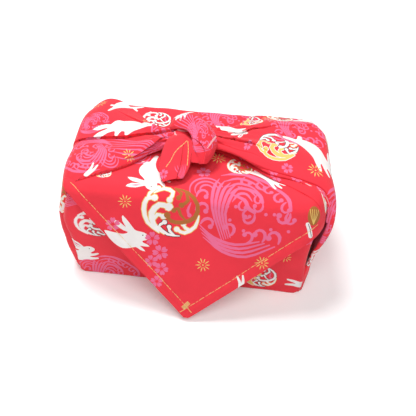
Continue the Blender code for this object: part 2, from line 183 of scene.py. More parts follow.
# The fold that shows below the right wing's front edge, from the corner gap to the knot
RIGHT_BAND = (
    # lower edge, middle, upper edge
    ((91.4, -53.8, 81), (93.8, -50.5, 82), (95, -44, 82)),
    ((90.2, -53.2, 86.8), (92.4, -48, 88.6), (94.2, -38, 88)),
    ((85.8, -50.6, 92.4), (86.8, -44, 94.8), (88, -32, 94.2)),
    ((78, -45.4, 94.7), (78.5, -38, 95.6), (79, -27, 95.2)),
    ((66, -38, 95), (66, -32.5, 95.9), (66, -23, 96)),
    ((52, -31.2, 96), (52, -28.4, 96.6), (52, -22, 97.4)),
    ((38, -21.4, 95.3), (38, -19.2, 96.2), (38, -14, 98)),
    ((26, -13.2, 95), (26, -11.2, 96.4), (26, -7, 99)),
    ((15, -8.2, 95.4), (15, -6.6, 97.2), (15, -4, 100)),
    ((3, -5.6, 96.6), (3, -4.6, 98.4), (3, -3, 101.4)),
)
# The thin fold between the band and the wing's front edge
RIGHT_STRIP = (
    # lower edge, upper edge
    ((96.8, -51, 74.5), (97.4, -41, 78)),
    ((96.4, -46, 85), (96.2, -34, 87.4)),
    ((90.2, -41.2, 93.4), (89, -30, 94.2)),
    ((79, -36.2, 96.3), (79, -25, 96.8)),
    ((66, -31.6, 97.2), (66, -20.6, 98)),
    ((52, -29.6, 98.4), (52, -19, 99.6)),
    ((38, -22, 100.2), (38, -14, 101.8)),
    ((26, -15, 101.8), (26, -8, 103.4)),
    ((12, -9.6, 103), (12, -5, 104.8)),
)

# Creases of the gathered corners, in flat millimetres: line of (along, across) places,
# (along, height) pairs, side that lies over, how soon it flattens out, overhang
LEFT_CREASES = (
    (((84, -2.5), (104, -3), (117, -3.3), (127, -3.6), (138, -2.4), (146, 0.6), (154, 3.6),
      (162, 4), (174, 3)),
     ((84, 0), (100, 1.4), (127, 2.2), (146, 2.4), (162, 2), (174, 1)), 1, 9, 1),
    (((134, -31), (146, -22.6), (155, -14), (162, -8.1), (169, -3)),
     ((134, 0), (146, 1.2), (156, 2), (169, 1.4)), 1, 6, 0.9),
    (((140, -36), (150, -27), (158, -18), (168, -9)),
     ((140, 0), (150, 0.8), (160, 1.2), (168, 0.8)), -1, 4.5, 0.6),
    (((122, 26), (134, 20), (146, 14), (156, 9.5), (166, 8)),
     ((122, 0), (136, 1.3), (150, 1.7), (166, 1)), 1, 5, 0.8),
)
RIGHT_CREASES = (
    (((138, -28), (151, -21), (162, -14.8), (179, -7.3), (193, -5.2)),
     ((138, 0), (151, 0.9), (162, 1.6), (180, 2), (193, 1.2)), 1, 8, 0.9),
    (((142, -37), (155, -28.4), (167, -21.7), (181, -13.9), (191, -10)),
     ((142, 0), (155, 0.3), (168, 0.5), (182, 0.7), (191, 0.6)), 1, 5.5, 0.4),
    (((134, 20), (150, 10), (166, 4.5), (180, 1.5), (192, 0.5)),
     ((134, 0), (150, 1.2), (168, 1.8), (192, 1)), 1, 6, 0.9),
    (((96, 34), (112, 26), (130, 20), (148, 16)),
     ((96, 0), (112, 0.8), (132, 0.9), (148, 0)), 1, 8, 0.5),
)
STRAP_CREASES = (
    (((17, -9), (27, -4), (37, 2), (47, 7)),
     ((17, 0.6), (29, 1.5), (41, 1.4), (47, 0.2)), -1, 6, 0.9),
    (((49, -10), (59, -4), (67, -1), (75, 0)),
     ((49, 0.3), (59, 1.4), (69, 1.2), (75, 0.5)), 1, 4, 0.8),
    (((35, 9), (47, 4), (59, 2)), ((35, 0), (47, 0.9), (59, 0.2)), 1, 5, 0.6),
)
TAIL_CREASES = (
    (((14, 4.5), (24, 4), (36, 3.5), (48, 1.5), (58, 0)),
     ((14, 0.2), (26, 1.2), (44, 1.3), (58, 0.6)), -1, 6, 0.8),
    (((30, -9), (40, -6), (52, -4)), ((30, 0), (40, 0.8), (52, 0.3)), 1, 4, 0.5),
)

# The knot's strap with the right-hand tail it ends in, and the left-hand tail
STRAP = (
    # rear edge, front edge, rise of the crown
    ((-17, 17, 96), (-27, 6, 96), 0.5), ((-19, 15.5, 101), (-28, 3.5, 101), 1),
    ((-17, 15, 111), (-25, -2, 109), 3), ((-9, 9, 117), (-15.5, -9.5, 116), 4),
    ((-1, 0, 117.5), (-9.8, -15.5, 116), 4), ((7, -9, 114), (-8, -22, 112), 4),
    ((9.5, -17, 109.5), (-5.5, -26, 108.5), 3), ((7, -24, 105), (-3.5, -28.5, 104.5), 2),
    ((2.5, -30, 101), (-1.5, -31, 101), 0.8),
)
TAIL = (
    # right edge, left edge, rise of the crown
    ((-12.5, -6, 113), (-19.5, -4, 111.5), 0.5), ((-10.3, -8, 111.5), (-22.5, -4.6, 108.8), 1.3),
    ((-8.2, -12, 110.5), (-24.6, -8, 106.5), 2.2), ((-8, -18, 111), (-27, -14, 107), 2.5),
    ((-8, -26, 107.5), (-29.5, -24, 104.5), 2.2), ((-9, -34.5, 102), (-30, -34, 101), 1.8),
    ((-10.8, -40, 99.5), (-29, -42.5, 98.5), 1.4), ((-13.2, -44.4, 97), (-26, -48.8, 96), 1),
)
# The fold of the right-hand tail that shows between its strap and the left-hand tail
TAIL_FOLD = (
    # right edge, left edge, rise of the crown
    ((-3, -18, 111.5), (-11, -18, 111.5), 0.5), ((-3, -24, 108), (-10.5, -24, 109), 0.6),
    ((-2.4, -28, 104.8), (-9, -28.5, 105.4), 0.4), ((-2.6, -31.2, 102), (-7.4, -31.4, 102.4), 0.2),
)
KNOT_CENTRE = (-7, -3, 103)
KNOT_RADII = (17, 14, 11)
KNOT_RISES = (-40, 84)   # from its foot to its crown, in degrees
BASE_OUTLINE = ((-86, -44), (-86, 42), (-76, 52), (76, 52), (85.5, 42), (85.5, -44), (75, -56),
                (-76, -56), (-86, -44))

# How a crease is shaped
GROOVE_DEPTH = 0.6       # of the fold's height
GROOVE_REACH = 0.5       # of the distance over which the fold flattens out
STEP_WIDTH = 0.8         # from the groove to the ridge
LIP = (0.7, 1.1)         # how far behind the step it overhangs most, over what width
LIP_LIMIT = 1.5          # a higher fold overhangs no more than one of this height
CREASE_CUTS = (-1.6, -0.7, -0.2, 0.3, 0.8, 1.5, 3.0)   # lines of points beside a crease


# Curves and grids

def spline(points, steps):
    """Smooth curve through the points, with the given number of steps between them."""
    knots = np.asarray(points, float)
    padded = np.concatenate(([2 * knots[0] - knots[1]], knots, [2 * knots[-1] - knots[-2]]))
    share = (np.arange(steps) / steps).reshape((-1,) + (1,) * (knots.ndim - 1))
    curve = []
    for before, start, end, after in zip(padded, padded[1:], padded[2:], padded[3:]):
        curve.append(0.5 * (2 * start + (end - before) * share
                            + (2 * before - 5 * start + 4 * end - after) * share ** 2
                            + (3 * start - before - 3 * end + after) * share ** 3))
    return np.concatenate(curve + [knots[-1:]])


def lengths_along(curve):
    steps = np.linalg.norm(np.diff(curve, axis=0), axis=-1)
    return np.concatenate(([0.0], np.cumsum(steps)))


def evenly(curve, count):
    """The same curve with that many points at even distances along it."""
    along = lengths_along(curve)
    places = np.linspace(0.0, along[-1], count)
    return np.stack([np.interp(places, along, column) for column in curve.T], axis=1)


def unit(vectors):
    return vectors / np.maximum(np.linalg.norm(vectors, axis=-1, keepdims=True), 1e-9)


def lofted(rows, across, steps):
    """Grid of points over the sections."""
    sections = np.array([evenly(spline(row, 10), across) for row in rows])
    return spline(sections, steps)


def inside(points, outline):
    """Which of the points lie inside the closed outline."""
    x, y = points.T
    hit = np.zeros(len(points), bool)
    for (x0, y0), (x1, y1) in zip(outline, np.roll(outline, -1, axis=0)):
        crosses = (y0 > y) != (y1 > y)
        if crosses.any():
            hit ^= crosses & (x < (x1 - x0) * (y - y0) / ((y1 - y0) or 1e-12) + x0)
    return hit


class Piece:
    """A piece of the cloth over a grid of points, seen from its right side.

    Grid rows run across the piece, one behind another along it.  outward is 1 or -1, the
    side of the grid that the cloth's right side faces.
    """

    def __init__(self, grid, outward=1, roll=HEM_ROLL, creases=()):
        self.grid = np.asarray(grid, float)
        across = np.gradient(self.grid, axis=1)
        along = np.gradient(self.grid, axis=0)
        self.normals = unit(np.cross(across, along)) * outward
        self.across, self.along_way = unit(across), unit(along)
        steps = np.linalg.norm(np.diff(self.grid, axis=0), axis=2).mean(axis=1)
        self.along = np.concatenate(([0.0], np.cumsum(steps)))
        self.width = np.linalg.norm(np.diff(self.grid, axis=1), axis=2).sum(axis=1)
        self.roll, self.middle, self.hem_line = roll, 0.5, None
        self.folds = [crease(*row) for row in creases]

    def sides(self, along):
        width = np.interp(along, self.along, self.width)
        return -self.middle * width, (1 - self.middle) * width

    def sample(self, across, along):
        rows, columns = self.grid.shape[:2]
        left, right = self.sides(along)
        row = np.interp(along, self.along, np.arange(rows))
        column = np.clip((across - left) / np.maximum(right - left, 1e-6), 0, 1) * (columns - 1)
        r, c = np.minimum(row.astype(int), rows - 2), np.minimum(column.astype(int), columns - 2)
        fr, fc = (row - r)[:, None], (column - c)[:, None]
        return [(field[r, c] * (1 - fr) + field[r + 1, c] * fr) * (1 - fc)
                + (field[r, c + 1] * (1 - fr) + field[r + 1, c + 1] * fr) * fc
                for field in (self.grid, self.normals, self.across, self.along_way)]

    def beyond(self, flat):
        """How far each point lies past the hem fold, and the way out across it."""
        if self.hem_line is not None:
            return self.hem_line(flat)
        left, right = self.sides(flat[:, 1])
        past = np.maximum(flat[:, 0] - right, left - flat[:, 0])
        way = np.where(flat[:, 0] > (left + right) / 2, 1.0, -1.0)
        return past, np.stack([way, np.zeros_like(way)], axis=1)

    def place(self, flat):
        """Where points of the flat piece are in the folded cloth."""
        past, way = self.beyond(flat)
        past = np.maximum(past, 0.0)
        turn = np.minimum(past / self.roll, math.pi)
        back = np.maximum(past - math.pi * self.roll, 0.0)
        at = flat - way * (past + back)[:, None]
        base, normal, across, along = self.sample(at[:, 0], at[:, 1])
        lift, shift = np.zeros(len(at)), np.zeros(len(at))
        for fold in self.folds:
            up, aside = fold(at[:, 0], at[:, 1])
            lift, shift = lift + up, shift + aside
        out = across * way[:, :1] + along * way[:, 1:]
        return (base + normal * lift[:, None] + across * shift[:, None]
                + out * (self.roll * np.sin(turn))[:, None]
                - normal * (self.roll * (1 - np.cos(turn)))[:, None])

    def fold_lines(self, spacing, sides=(0, 1)):
        """Lines along the rounded edge of the hems at the left side (0) and the right (1)."""
        stations = np.arange(0, self.along[-1], spacing)
        ends = self.sides(stations)
        return [np.stack([ends[side] + (2 * side - 1) * self.roll * turn, stations], axis=1)
                for side in sides for turn in HEM_TURNS]

    def normal_at(self, flat, step=0.12):
        right, left = self.place(flat + (step, 0)), self.place(flat - (step, 0))
        ahead, behind = self.place(flat + (0, step)), self.place(flat - (0, step))
        facing = unit(np.cross(right - left, ahead - behind))
        plain = self.sample(flat[:, 0], flat[:, 1])[1]
        sign = np.where((self.beyond(flat)[0] > 0), 0.0, 1.0)
        flip = np.where((facing * plain).sum(axis=1) * sign < 0, -1.0, 1.0)
        return facing * flip[:, None]

    def strip_outline(self, spacing, left_hem=0.0, right_hem=0.0):
        """Outline of the whole piece, with a hem allowance at its two long sides."""
        stations = np.arange(0.0, self.along[-1] + spacing / 2, spacing)
        left, right = self.sides(stations)
        near = np.stack([left - left_hem, stations], axis=1)
        far = np.stack([right + right_hem, stations], axis=1)[::-1]
        first = np.arange(left[0] - left_hem, right[0] + right_hem, spacing)[1:-1]
        last = np.arange(left[-1] - left_hem, right[-1] + right_hem, spacing)[1:-1]
        top = np.stack([last, np.full(len(last), stations[-1])], axis=1)
        bottom = np.stack([first[::-1], np.full(len(first), stations[0])], axis=1)
        return np.concatenate([near, top, far, bottom])


def crease(path, heights, over, roll, lip):
    """A fold along a line of (along, across) places.

    The cloth on the side over (1 or -1) rises to the height and overhangs the groove.
    """
    line_a, line_w = np.array(path, float).T
    height_a, height_h = np.array(heights, float).T

    def fold(across, along):
        height = np.interp(along, height_a, height_h)
        gap = over * (across - np.interp(along, line_a, line_w))
        ridge = np.exp(-np.maximum(gap, 0) / roll)
        groove = -GROOVE_DEPTH * np.exp(np.minimum(gap, 0) / (roll * GROOVE_REACH))
        step = np.clip(gap / STEP_WIDTH + 0.5, 0, 1)
        step = step * step * (3 - 2 * step)
        lifted = height * (groove * (1 - step) + ridge * step)
        bulge = np.exp(-((gap - LIP[0]) / LIP[1]) ** 2)
        return lifted, -over * lip * np.minimum(height, LIP_LIMIT) * bulge
    fold.line = np.stack([line_w, line_a], axis=1)
    return fold


def ripple(piece, waves, heights, phase=0.0):
    """Gathers that run along the piece, as many as waves, higher towards the knot."""
    height_a, height_h = np.array(heights, float).T

    def fold(across, along):
        left, right = piece.sides(along)
        share = (across - left) / np.maximum(right - left, 1e-6)
        arch = np.sin(math.pi * np.clip(share, 0, 1)) ** 0.5
        height = np.interp(along, height_a, height_h) * arch
        angle = 2 * math.pi * waves * share + phase
        return height * (np.sin(angle) + 0.25 * np.sin(2 * angle + 1.0)), np.zeros_like(across)
    return fold


# Print motifs: each is a list of (outline, colour), drawn round (0, 0) in its own size

EDGE_LINE = 1.1          # twice the width of the printed outlines
FULL_LINE = 18           # rings of foam below this size have thinner outlines
FOAM_TURN = 205.0        # how far a finger of foam hooks over, in degrees


def brush(points, widths, colour, steps=3):
    """Stroke through the points with round ends, as wide as given along it."""
    line = spline(points, steps)
    half = np.interp(np.linspace(0, 1, len(line)), np.linspace(0, 1, len(widths)), widths) / 2
    way = unit(np.gradient(line, axis=0))
    side = np.stack([-way[:, 1], way[:, 0]], axis=1)
    left, right = line + side * half[:, None], line - side * half[:, None]
    turns = np.radians((-45, 0, 45))[:, None]
    tip = line[-1] + half[-1] * (way[-1] * np.cos(turns) - side[-1] * np.sin(turns))
    tail = line[0] - half[0] * (way[0] * np.cos(turns) - side[0] * np.sin(turns))
    return [(np.concatenate([left, tip, right[::-1], tail]), colour)]


def stroke(points, widths, colour, size, steps=3):
    """Brush stroke with its points and widths in shares of the motif's size."""
    return brush(np.array(points) * size, np.array(widths) * size, colour, steps)


def closed(outline):
    """Smooth closed outline through the points."""
    return spline(np.concatenate([outline, outline[:1]]), 2)[:-1]


def disc(x, y, radius, colour, points):
    turns = np.linspace(0, 2 * math.pi, points, endpoint=False)
    outline = np.stack([x + radius * np.cos(turns), y + radius * np.sin(turns)], axis=1)
    return [(outline, colour)]


def arc(x, y, radius, start, end, widths, colour):
    turns = np.radians(np.linspace(start, end, max(5, int(abs(end - start) / 15))))
    points = np.stack([x + radius * np.cos(turns), y + radius * np.sin(turns)], axis=1)
    return brush(points, widths, colour, 2)


def foam(x, y, heading, length, hand):
    """Finger of foam: a stroke that hooks over to one side into a round tip."""
    angle = np.radians(heading + hand * FOAM_TURN * np.linspace(0, 1, 8) ** 1.6)
    steps = np.stack([np.cos(angle), np.sin(angle)], axis=1)
    points = (x, y) + np.cumsum(steps, axis=0) * length / 8
    widths = np.array((0.06, 0.12, 0.13, 0.11, 0.10, 0.10)) * length
    return brush(points, widths, PINK, 1) + disc(*points[-1], 0.105 * length, PINK, 8)


def family(first, last, count, widths, size):
    """Lines that run side by side, from the first to the last."""
    first, last = np.array(first), np.array(last)
    drawn = []
    for share in np.linspace(0, 1, count):
        drawn += stroke(first + (last - first) * share, widths, PINK, size)
    return drawn


def swell(size):
    """Breaking wave in a round, with streaming lines behind and fingers of foam in front."""
    # the wave's back, the ground swell under it and the inside of its crest
    drawn = family(((-0.50, 0.84), (-0.62, 0.56), (-0.66, 0.06), (-0.44, -0.66)),
                   ((-0.02, 0.62), (-0.22, 0.40), (-0.38, -0.06), (-0.26, -0.60)),
                   5, (0.010, 0.070, 0.070, 0.050, 0.018), size)
    drawn += family(((-0.94, -0.30), (-0.62, -0.60), (-0.14, -0.76), (0.36, -0.68)),
                    ((-0.84, -0.60), (-0.42, -0.92), (0.10, -1.04), (0.70, -0.80)),
                    4, (0.014, 0.058, 0.066, 0.056, 0.032), size)
    drawn += family(((-0.46, 0.94), (-0.10, 1.02), (0.26, 0.88), (0.52, 0.58)),
                    ((-0.24, 0.20), (-0.10, 0.38), (0.06, 0.38), (0.18, 0.22)),
                    5, (0.014, 0.066, 0.072, 0.052, 0.018), size)
    # small ripples at the side of the back
    for radius in (0.14, 0.25, 0.36):
        drawn += arc(-0.78 * size, 0.46 * size, radius * size, 200, 20,
                     np.array((0.015, 0.06, 0.03)) * size, PINK)
    return drawn


def breaking_wave(size):
    """The swell with its foam: crest lines that break off into hooks, and drops between."""
    drawn = swell(size)
    crests = (
        ((-0.30, 0.98), (0.12, 0.98), (0.46, 0.82), (0.70, 0.62)),
        ((-0.10, 0.60), (0.14, 0.52), (0.34, 0.36), (0.40, 0.20)),
        ((-0.22, 0.36), (0.02, 0.24), (0.10, 0.08), (0.24, -0.02)),
        ((0.56, 0.70), (0.80, 0.50), (0.96, 0.28), (1.00, 0.04)),
    )
    for crest in crests:
        drawn += stroke(crest, (0.04, 0.08, 0.09, 0.07), PINK, size)
    hooks = (
        # place, heading, length, side to which it curls
        (0.10, 0.94, 216, 0.50, 1), (0.42, 0.82, 216, 0.50, 1), (0.62, 0.66, 196, 0.44, 1),
        (0.32, 0.38, 216, 0.36, 1), (0.40, 0.22, 280, 0.44, -1),
        (0.0, 0.25, 216, 0.40, 1), (0.12, 0.06, 206, 0.40, 1), (0.23, 0.0, -80, 0.54, -1),
        (0.82, 0.46, 196, 0.46, 1), (0.95, 0.24, 206, 0.46, 1), (1.00, 0.02, 226, 0.50, 1),
        (0.99, 0.04, -84, 0.60, -1),
        (-0.34, -0.60, 30, 0.56, 1), (0.04, -0.74, 20, 0.50, 1), (0.38, -0.74, 48, 0.58, 1),
        (0.74, -0.80, 62, 0.62, 1), (-1.00, 0.24, 84, 0.50, -1), (-1.02, -0.06, 80, 0.54, -1),
        (-0.92, -0.36, 70, 0.54, -1),
    )
    for x, y, heading, length, hand in hooks:
        drawn += foam(x * size, y * size, heading, length * size, hand)
    for x, y in ((-0.34, 0.10), (-0.16, 0.10), (0.48, -0.06), (-0.28, -0.20), (0.66, -0.06),
                 (0.02, -0.44), (0.98, -0.44), (0.60, -0.40)):
        drawn += disc(x * size, y * size, 0.034 * size + 0.2, PINK, 7)
    return drawn


def streams(size):
    """Long lines of water that draw together."""
    return family(((-1.0, -0.62), (-0.4, -0.40), (0.3, -0.10), (1.0, 0.06)),
                  ((-0.9, 0.46), (-0.3, 0.52), (0.4, 0.32), (1.0, 0.16)),
                  7, (0.012, 0.052, 0.046, 0.030, 0.010), size)


CURLS = (
    # a ring of foam: strokes from their thin foot to their round tip, width, side of the ring
    (((-0.46, -0.80), (-0.86, -0.42), (-0.98, 0.10), (-0.86, 0.50), (-0.58, 0.54)), 0.16, "near"),
    (((-0.90, 0.30), (-0.76, 0.70), (-0.44, 0.92)), 0.10, "near"),
    (((-0.26, -0.84), (-0.64, -0.50), (-0.70, -0.04), (-0.42, 0.28), (-0.08, 0.20)), 0.22, "near"),
    (((-0.66, -0.38), (-0.50, -0.10), (-0.28, -0.18)), 0.14, "near"),
    (((-0.60, 0.72), (-0.24, 0.88), (0.08, 0.74), (-0.04, 0.46)), 0.14, "near"),
    (((0.30, -0.92), (-0.14, -0.86), (-0.46, -0.58), (-0.24, -0.40)), 0.12, "foot"),
    (((0.14, -0.90), (-0.06, -0.74), (-0.08, -0.58)), 0.11, "foot"),
    (((1.00, -0.14), (0.86, -0.56), (0.48, -0.80), (0.20, -0.66)), 0.13, "edge"),
    (((0.74, -0.68), (0.52, -0.62), (0.44, -0.46)), 0.11, "edge"),
    (((0.14, 0.90), (0.62, 0.74), (0.96, 0.28), (0.86, -0.20), (0.40, -0.40), (-0.02, -0.34),
      (-0.14, -0.12)), 0.17, "far"),
    (((0.52, 0.78), (0.62, 0.44), (0.38, 0.26)), 0.14, "far"),
    (((0.56, -0.34), (0.34, -0.10), (0.26, 0.14), (0.10, 0.06)), 0.12, "far"),
    (((0.16, 0.86), (0.38, 0.70), (0.28, 0.54)), 0.12, "far"),
    (((0.72, 0.36), (0.60, 0.06), (0.66, -0.12)), 0.10, "drop"),
)


def curl_ring(size, near, far, edge=(WHITE, GOLD)):
    """Ring of curling foam, with the (colour, edge colour) of its sides."""
    looks = {"near": near, "far": far, "foot": (WHITE, DARK), "edge": edge, "drop": (PINK, None)}
    line = EDGE_LINE * min(1.0, size / FULL_LINE)
    edges, fills = [], []
    for points, width, side in CURLS:
        points, (colour, rim) = np.array(points) * size, looks[side]
        widths = np.array((0.3, 0.8, 1.0, 0.9, 0.8)) * width * size
        tip = (0.62 * width + 0.02) * size
        fills += brush(points, widths, colour, 2) + disc(*points[-1], tip, colour, 8)
        if rim is not None:
            edges += brush(points, widths + line, rim, 2)
            edges += disc(*points[-1], tip + line / 2, rim, 8)
    return edges + fills


def bar(size):
    """White bar with a dark line along it, part of a motif that the hem cuts off."""
    line = np.array(((-0.04, -0.5), (0.02, 0.0), (0.0, 0.5))) * size
    return brush(line, (2.9, 3.2, 3.0), WHITE) + brush(line + (0.5, 0), (0.4, 0.5, 0.4), DARK)


def paws(size):
    """The stretched paws of a rabbit that lies outside the piece."""
    return (stroke(((-0.5, 0.30), (0.0, 0.16), (0.5, 0.22)), (0.26, 0.20, 0.12), WHITE, size)
            + stroke(((-0.5, 0.20), (0.0, -0.06), (0.46, -0.16)), (0.30, 0.20, 0.12), WHITE, size))


def fan(size):
    """Brown oval crossed by fine gold lines that spread from its foot."""
    turns = np.linspace(0, 2 * math.pi, 18, endpoint=False)
    drawn = [(np.stack([0.62 * size * np.cos(turns), size * np.sin(turns)], axis=1), BROWN)]
    for lean in (-0.42, -0.2, 0.02, 0.24, 0.44):
        drawn += brush(np.array(((0.0, -0.86), (lean * 0.7, 0.0), (lean, 0.66))) * size,
                       (0.5, 0.5, 0.4), GOLD, 2)
    return drawn


def lip(size):
    """A light-coloured line along an edge: painted highlight where light catches the folded edge.
    """
    return brush(np.array(((-0.5, -0.05), (0.0, 0.03), (0.5, 0.0))) * size, (0.8, 1.5, 0.7), PALE_PRINT_AND_HIGHLIGHT)


# Outlines of rabbits, in hundredths of their length
LEAPING = (
    # from its nose over its ears and back
    (50, 6), (47, 13), (40, 18), (33, 20), (32, 34), (23, 49), (18, 38), (26, 22), (13, 36),
    (-2, 41), (5, 28), (18, 17), (8, 17), (-4, 20), (-18, 19), (-30, 13), (-36, 7), (-41, 11),
    (-46, 7), (-42, 1), (-40, -4), (-48, -10), (-57, -18), (-53, -22), (-42, -17), (-29, -12),
    (-14, -10), (0, -11), (11, -14), (23, -20), (36, -24), (38, -20), (28, -14), (25, -9),
    (35, -12), (47, -12), (47, -8), (36, -5), (34, -1), (42, 0), (48, 2),
)
RESTING = (
    # crouching, with its ears laid back
    (49, 7), (46, 14), (38, 19), (27, 21), (17, 24), (6, 38), (-12, 58), (-12, 44), (-3, 29),
    (-16, 39), (-33, 46), (-25, 32), (-9, 21), (2, 17), (-8, 12), (-22, 13), (-37, 16), (-52, 18),
    (-45, 6), (-35, -6), (-22, -17), (-8, -23), (10, -21), (22, -18), (32, -24), (44, -27),
    (37, -19), (31, -14), (42, -15), (53, -14), (46, -9), (38, -6), (36, -2), (42, 0), (48, 3),
)
DIVING = (
    # leaping, with its ears stretched out before it
    (-50, 3), (-41, 8), (-30, 9), (-23, 8), (-18, 14), (-11, 16), (-4, 14), (6, 15), (22, 15),
    (36, 11), (50, 4), (40, 1), (29, -2), (20, -7), (11, -14), (5, -14), (3, -9), (-3, -8),
    (-8, -16), (-13, -14), (-15, -7), (-26, -10), (-38, -15), (-48, -14), (-40, -6), (-31, -2),
    (-27, 0), (-32, 1), (-42, -1),
)


def rabbit(size, points, girth=1.0, eye=None):
    """White rabbit from its outline, with the (x, y, radius) of its eye."""
    drawn = [(closed(np.array(points, float) * (size / 100, size * girth / 100)), WHITE)]
    if eye is not None:
        drawn += disc(eye[0] * size, eye[1] * size * girth, eye[2] * size, DARK, 6)
    return drawn


def leaping_rabbit(size, girth=1.0):
    """Rabbit in mid-leap, with a pink line in its ear."""
    ear = np.array(((0.29, 0.24), (0.26, 0.33), (0.23, 0.41))) * (size, size * girth)
    return (rabbit(size, LEAPING, girth, (0.40, 0.10, 0.014))
            + brush(ear, (0.2, 0.035 * size, 0.2), PINK, 2))


def blossom(size):
    """Cherry blossom: five notched petals round a small eye."""
    petal = np.array(((0.16, 0.0), (0.40, 0.24), (0.72, 0.36), (0.98, 0.20), (0.86, 0.0),
                      (0.98, -0.20), (0.72, -0.36), (0.40, -0.24)))
    drawn = []
    for number in range(5):
        turn = math.radians(90 + 72 * number)
        spin = np.array(((math.cos(turn), math.sin(turn)), (-math.sin(turn), math.cos(turn))))
        drawn.append((closed(petal * size @ spin), PINK))
        drawn += brush(np.array(((0.10, 0.0), (0.45, 0.0))) * size @ spin, (0.35, 0.2), RED, 1)
    return drawn


def burst(size):
    """Chrysanthemum of ten fine gold rays, every other one longer."""
    drawn = disc(0, 0, 0.12 * size, GOLD, 6)
    for number in range(10):
        turn = 2 * math.pi * number / 10
        way = np.array((math.cos(turn), math.sin(turn))) * size
        ray = [way * 0.32, way * 0.7, way * (0.94 + 0.1 * (number % 2))]
        drawn += brush(ray, (0.2, 0.15 * size, 0.3), GOLD, 2)
    return drawn


MOTIFS = {
    "wave": breaking_wave, "streams": streams, "blossom": blossom, "burst": burst,
    "paws": paws, "fan": fan, "bar": bar, "lip": lip,
    "curls": lambda size: curl_ring(size, (WHITE, GOLD), (BROWN, None)),
    "gilt curls": lambda size: curl_ring(size, (GOLD, WHITE), (WHITE, DARK)),
    "inked curls": lambda size: curl_ring(size, (WHITE, PALE_PRINT_AND_HIGHLIGHT), (WHITE, DARK), (WHITE, DARK)),
    "rabbit": leaping_rabbit,
    "plump rabbit": lambda size: leaping_rabbit(size, 1.35),
    "stretched rabbit": lambda size: leaping_rabbit(size, 0.66),
    "resting rabbit": lambda size: rabbit(size, RESTING, eye=(0.36, 0.12, 0.016)),
    "diving rabbit": lambda size: rabbit(size, DIVING),
}


def printed(rows):
    """Outlines of a piece's print from its rows."""
    shapes = []
    for motif, across, along, size, turn, *mirrored in rows:
        c, s = math.cos(math.radians(turn)), math.sin(math.radians(turn))
        for outline, colour in MOTIFS[motif](size):
            x, y = outline.T * ((-1,), (1,)) if mirrored else outline.T
            placed = np.stack([across + c * x - s * y, along + s * x + c * y], axis=1)
            shapes.append((placed, colour))
    return shapes


# The sewing: how far along each hem of the flap it shows, the bar of close stitches over the
# flap's point, and the seams that show on the left tail
SEAM_REACHES = (92.0, 90.0)
BARTACK = ((-4.4, 7.6), (0.0, 13.0))
BARTACK_ROWS = np.arange(-0.9, 1.0, 0.45)
TAIL_SEAMS = (
    ((6.6, 12.6), (2.9, 19.0), (-1.0, 24.6), (-3.1, 31.2), (-5.9, 37.0)),
    ((6.9, 12.8), (8.6, 20.0), (9.2, 28.0), (9.4, 34.0)),
)

# Where the motifs lie on each piece, in its flat millimetres: motif, across, along, size,
# turn in degrees and, for a mirrored one, True.  Later ones are printed over earlier ones.
REAR_PRINT = (
    ("wave", 32.9, 89.4, 34, 4), ("curls", -18.8, 83.8, 20, 5),
    ("plump rabbit", -35.4, 115.4, 33, 112, True), ("resting rabbit", -49.6, 59.6, 32, 0),
    ("burst", -52.3, 88.7, 4.9, 4), ("burst", 7.7, 44.9, 5.2, 6), ("burst", 50.9, 50.4, 5.1, 6),
    ("blossom", -60.2, 70.5, 5.4, 4), ("blossom", -31, 61.5, 5.6, 5),
    ("blossom", -24.4, 51.2, 6.1, 25), ("blossom", -30.6, 43.5, 5, 15),
    ("blossom", -22.8, 38, 5.4, 50), ("blossom", -25.5, 27.5, 4.9, 5),
    ("rabbit", 49.8, 122.6, 30, -34), ("paws", 38, 33.6, 11, 110), ("curls", 28.7, 132, 9, 4),
    ("fan", 84, 90.6, 7.6, 4), ("bar", 82, 79.4, 10, 22), ("burst", 12, 140, 6, 10),
    ("burst", 74, 128, 6, 40), ("blossom", 2, 122, 5.5, 12), ("gilt curls", -71, 111.4, 6, 8),
    ("wave", -66, 150, 26, 170), ("inked curls", -39.2, 182, 10.8, 8), ("wave", 17, 191, 20, 7),
    ("rabbit", 8.5, 160, 27, 4), ("burst", 40, 176, 6.4, 6), ("curls", 45, 188, 9, 120),
    ("wave", 60, 158, 24, 200), ("burst", -12, 178, 5, 20), ("rabbit", -70, 194, 32, 175),
    # down the back
    ("curls", 76, 212, 19, 40), ("wave", -58, 243, 31, 185), ("curls", -8, 232, 20, 150),
    ("burst", 17, 262, 5, 20), ("wave", 52, 262, 29, 172, True),
    ("rabbit", -20, 272, 33, 165, True), ("blossom", 22, 222, 6, 10),
    ("blossom", 31, 229, 5.4, 40), ("blossom", 20, 233.5, 5.2, 70), ("burst", -28, 214, 5.4, 0),
    ("burst", 6, 282, 5.2, 15), ("burst", -92, 274, 5.4, 0), ("burst", 88, 240, 5.4, 30),
    ("rabbit", 86, 282, 32, 120),
)
FRONT_PRINT = (
    ("streams", -93, 75, 17, 8), ("inked curls", -71.6, 56.6, 13, 5),
    ("rabbit", -88.5, 18, 37, 33), ("wave", -62, 0, 22, 7), ("gilt curls", 55.4, 16, 12.4, 7),
    ("burst", 74, 40.5, 5, 4), ("paws", 84, 13, 15, 176), ("blossom", 91.1, 60.6, 5.8, 0),
    ("blossom", 84, 66, 5, 30), ("rabbit", -20, 50, 34, 8), ("wave", 14, 56, 25, 160),
    ("burst", -4, 24, 5.2, 0), ("curls", -118, 30, 13, 0), ("wave", 118, 56, 22, 100),
)
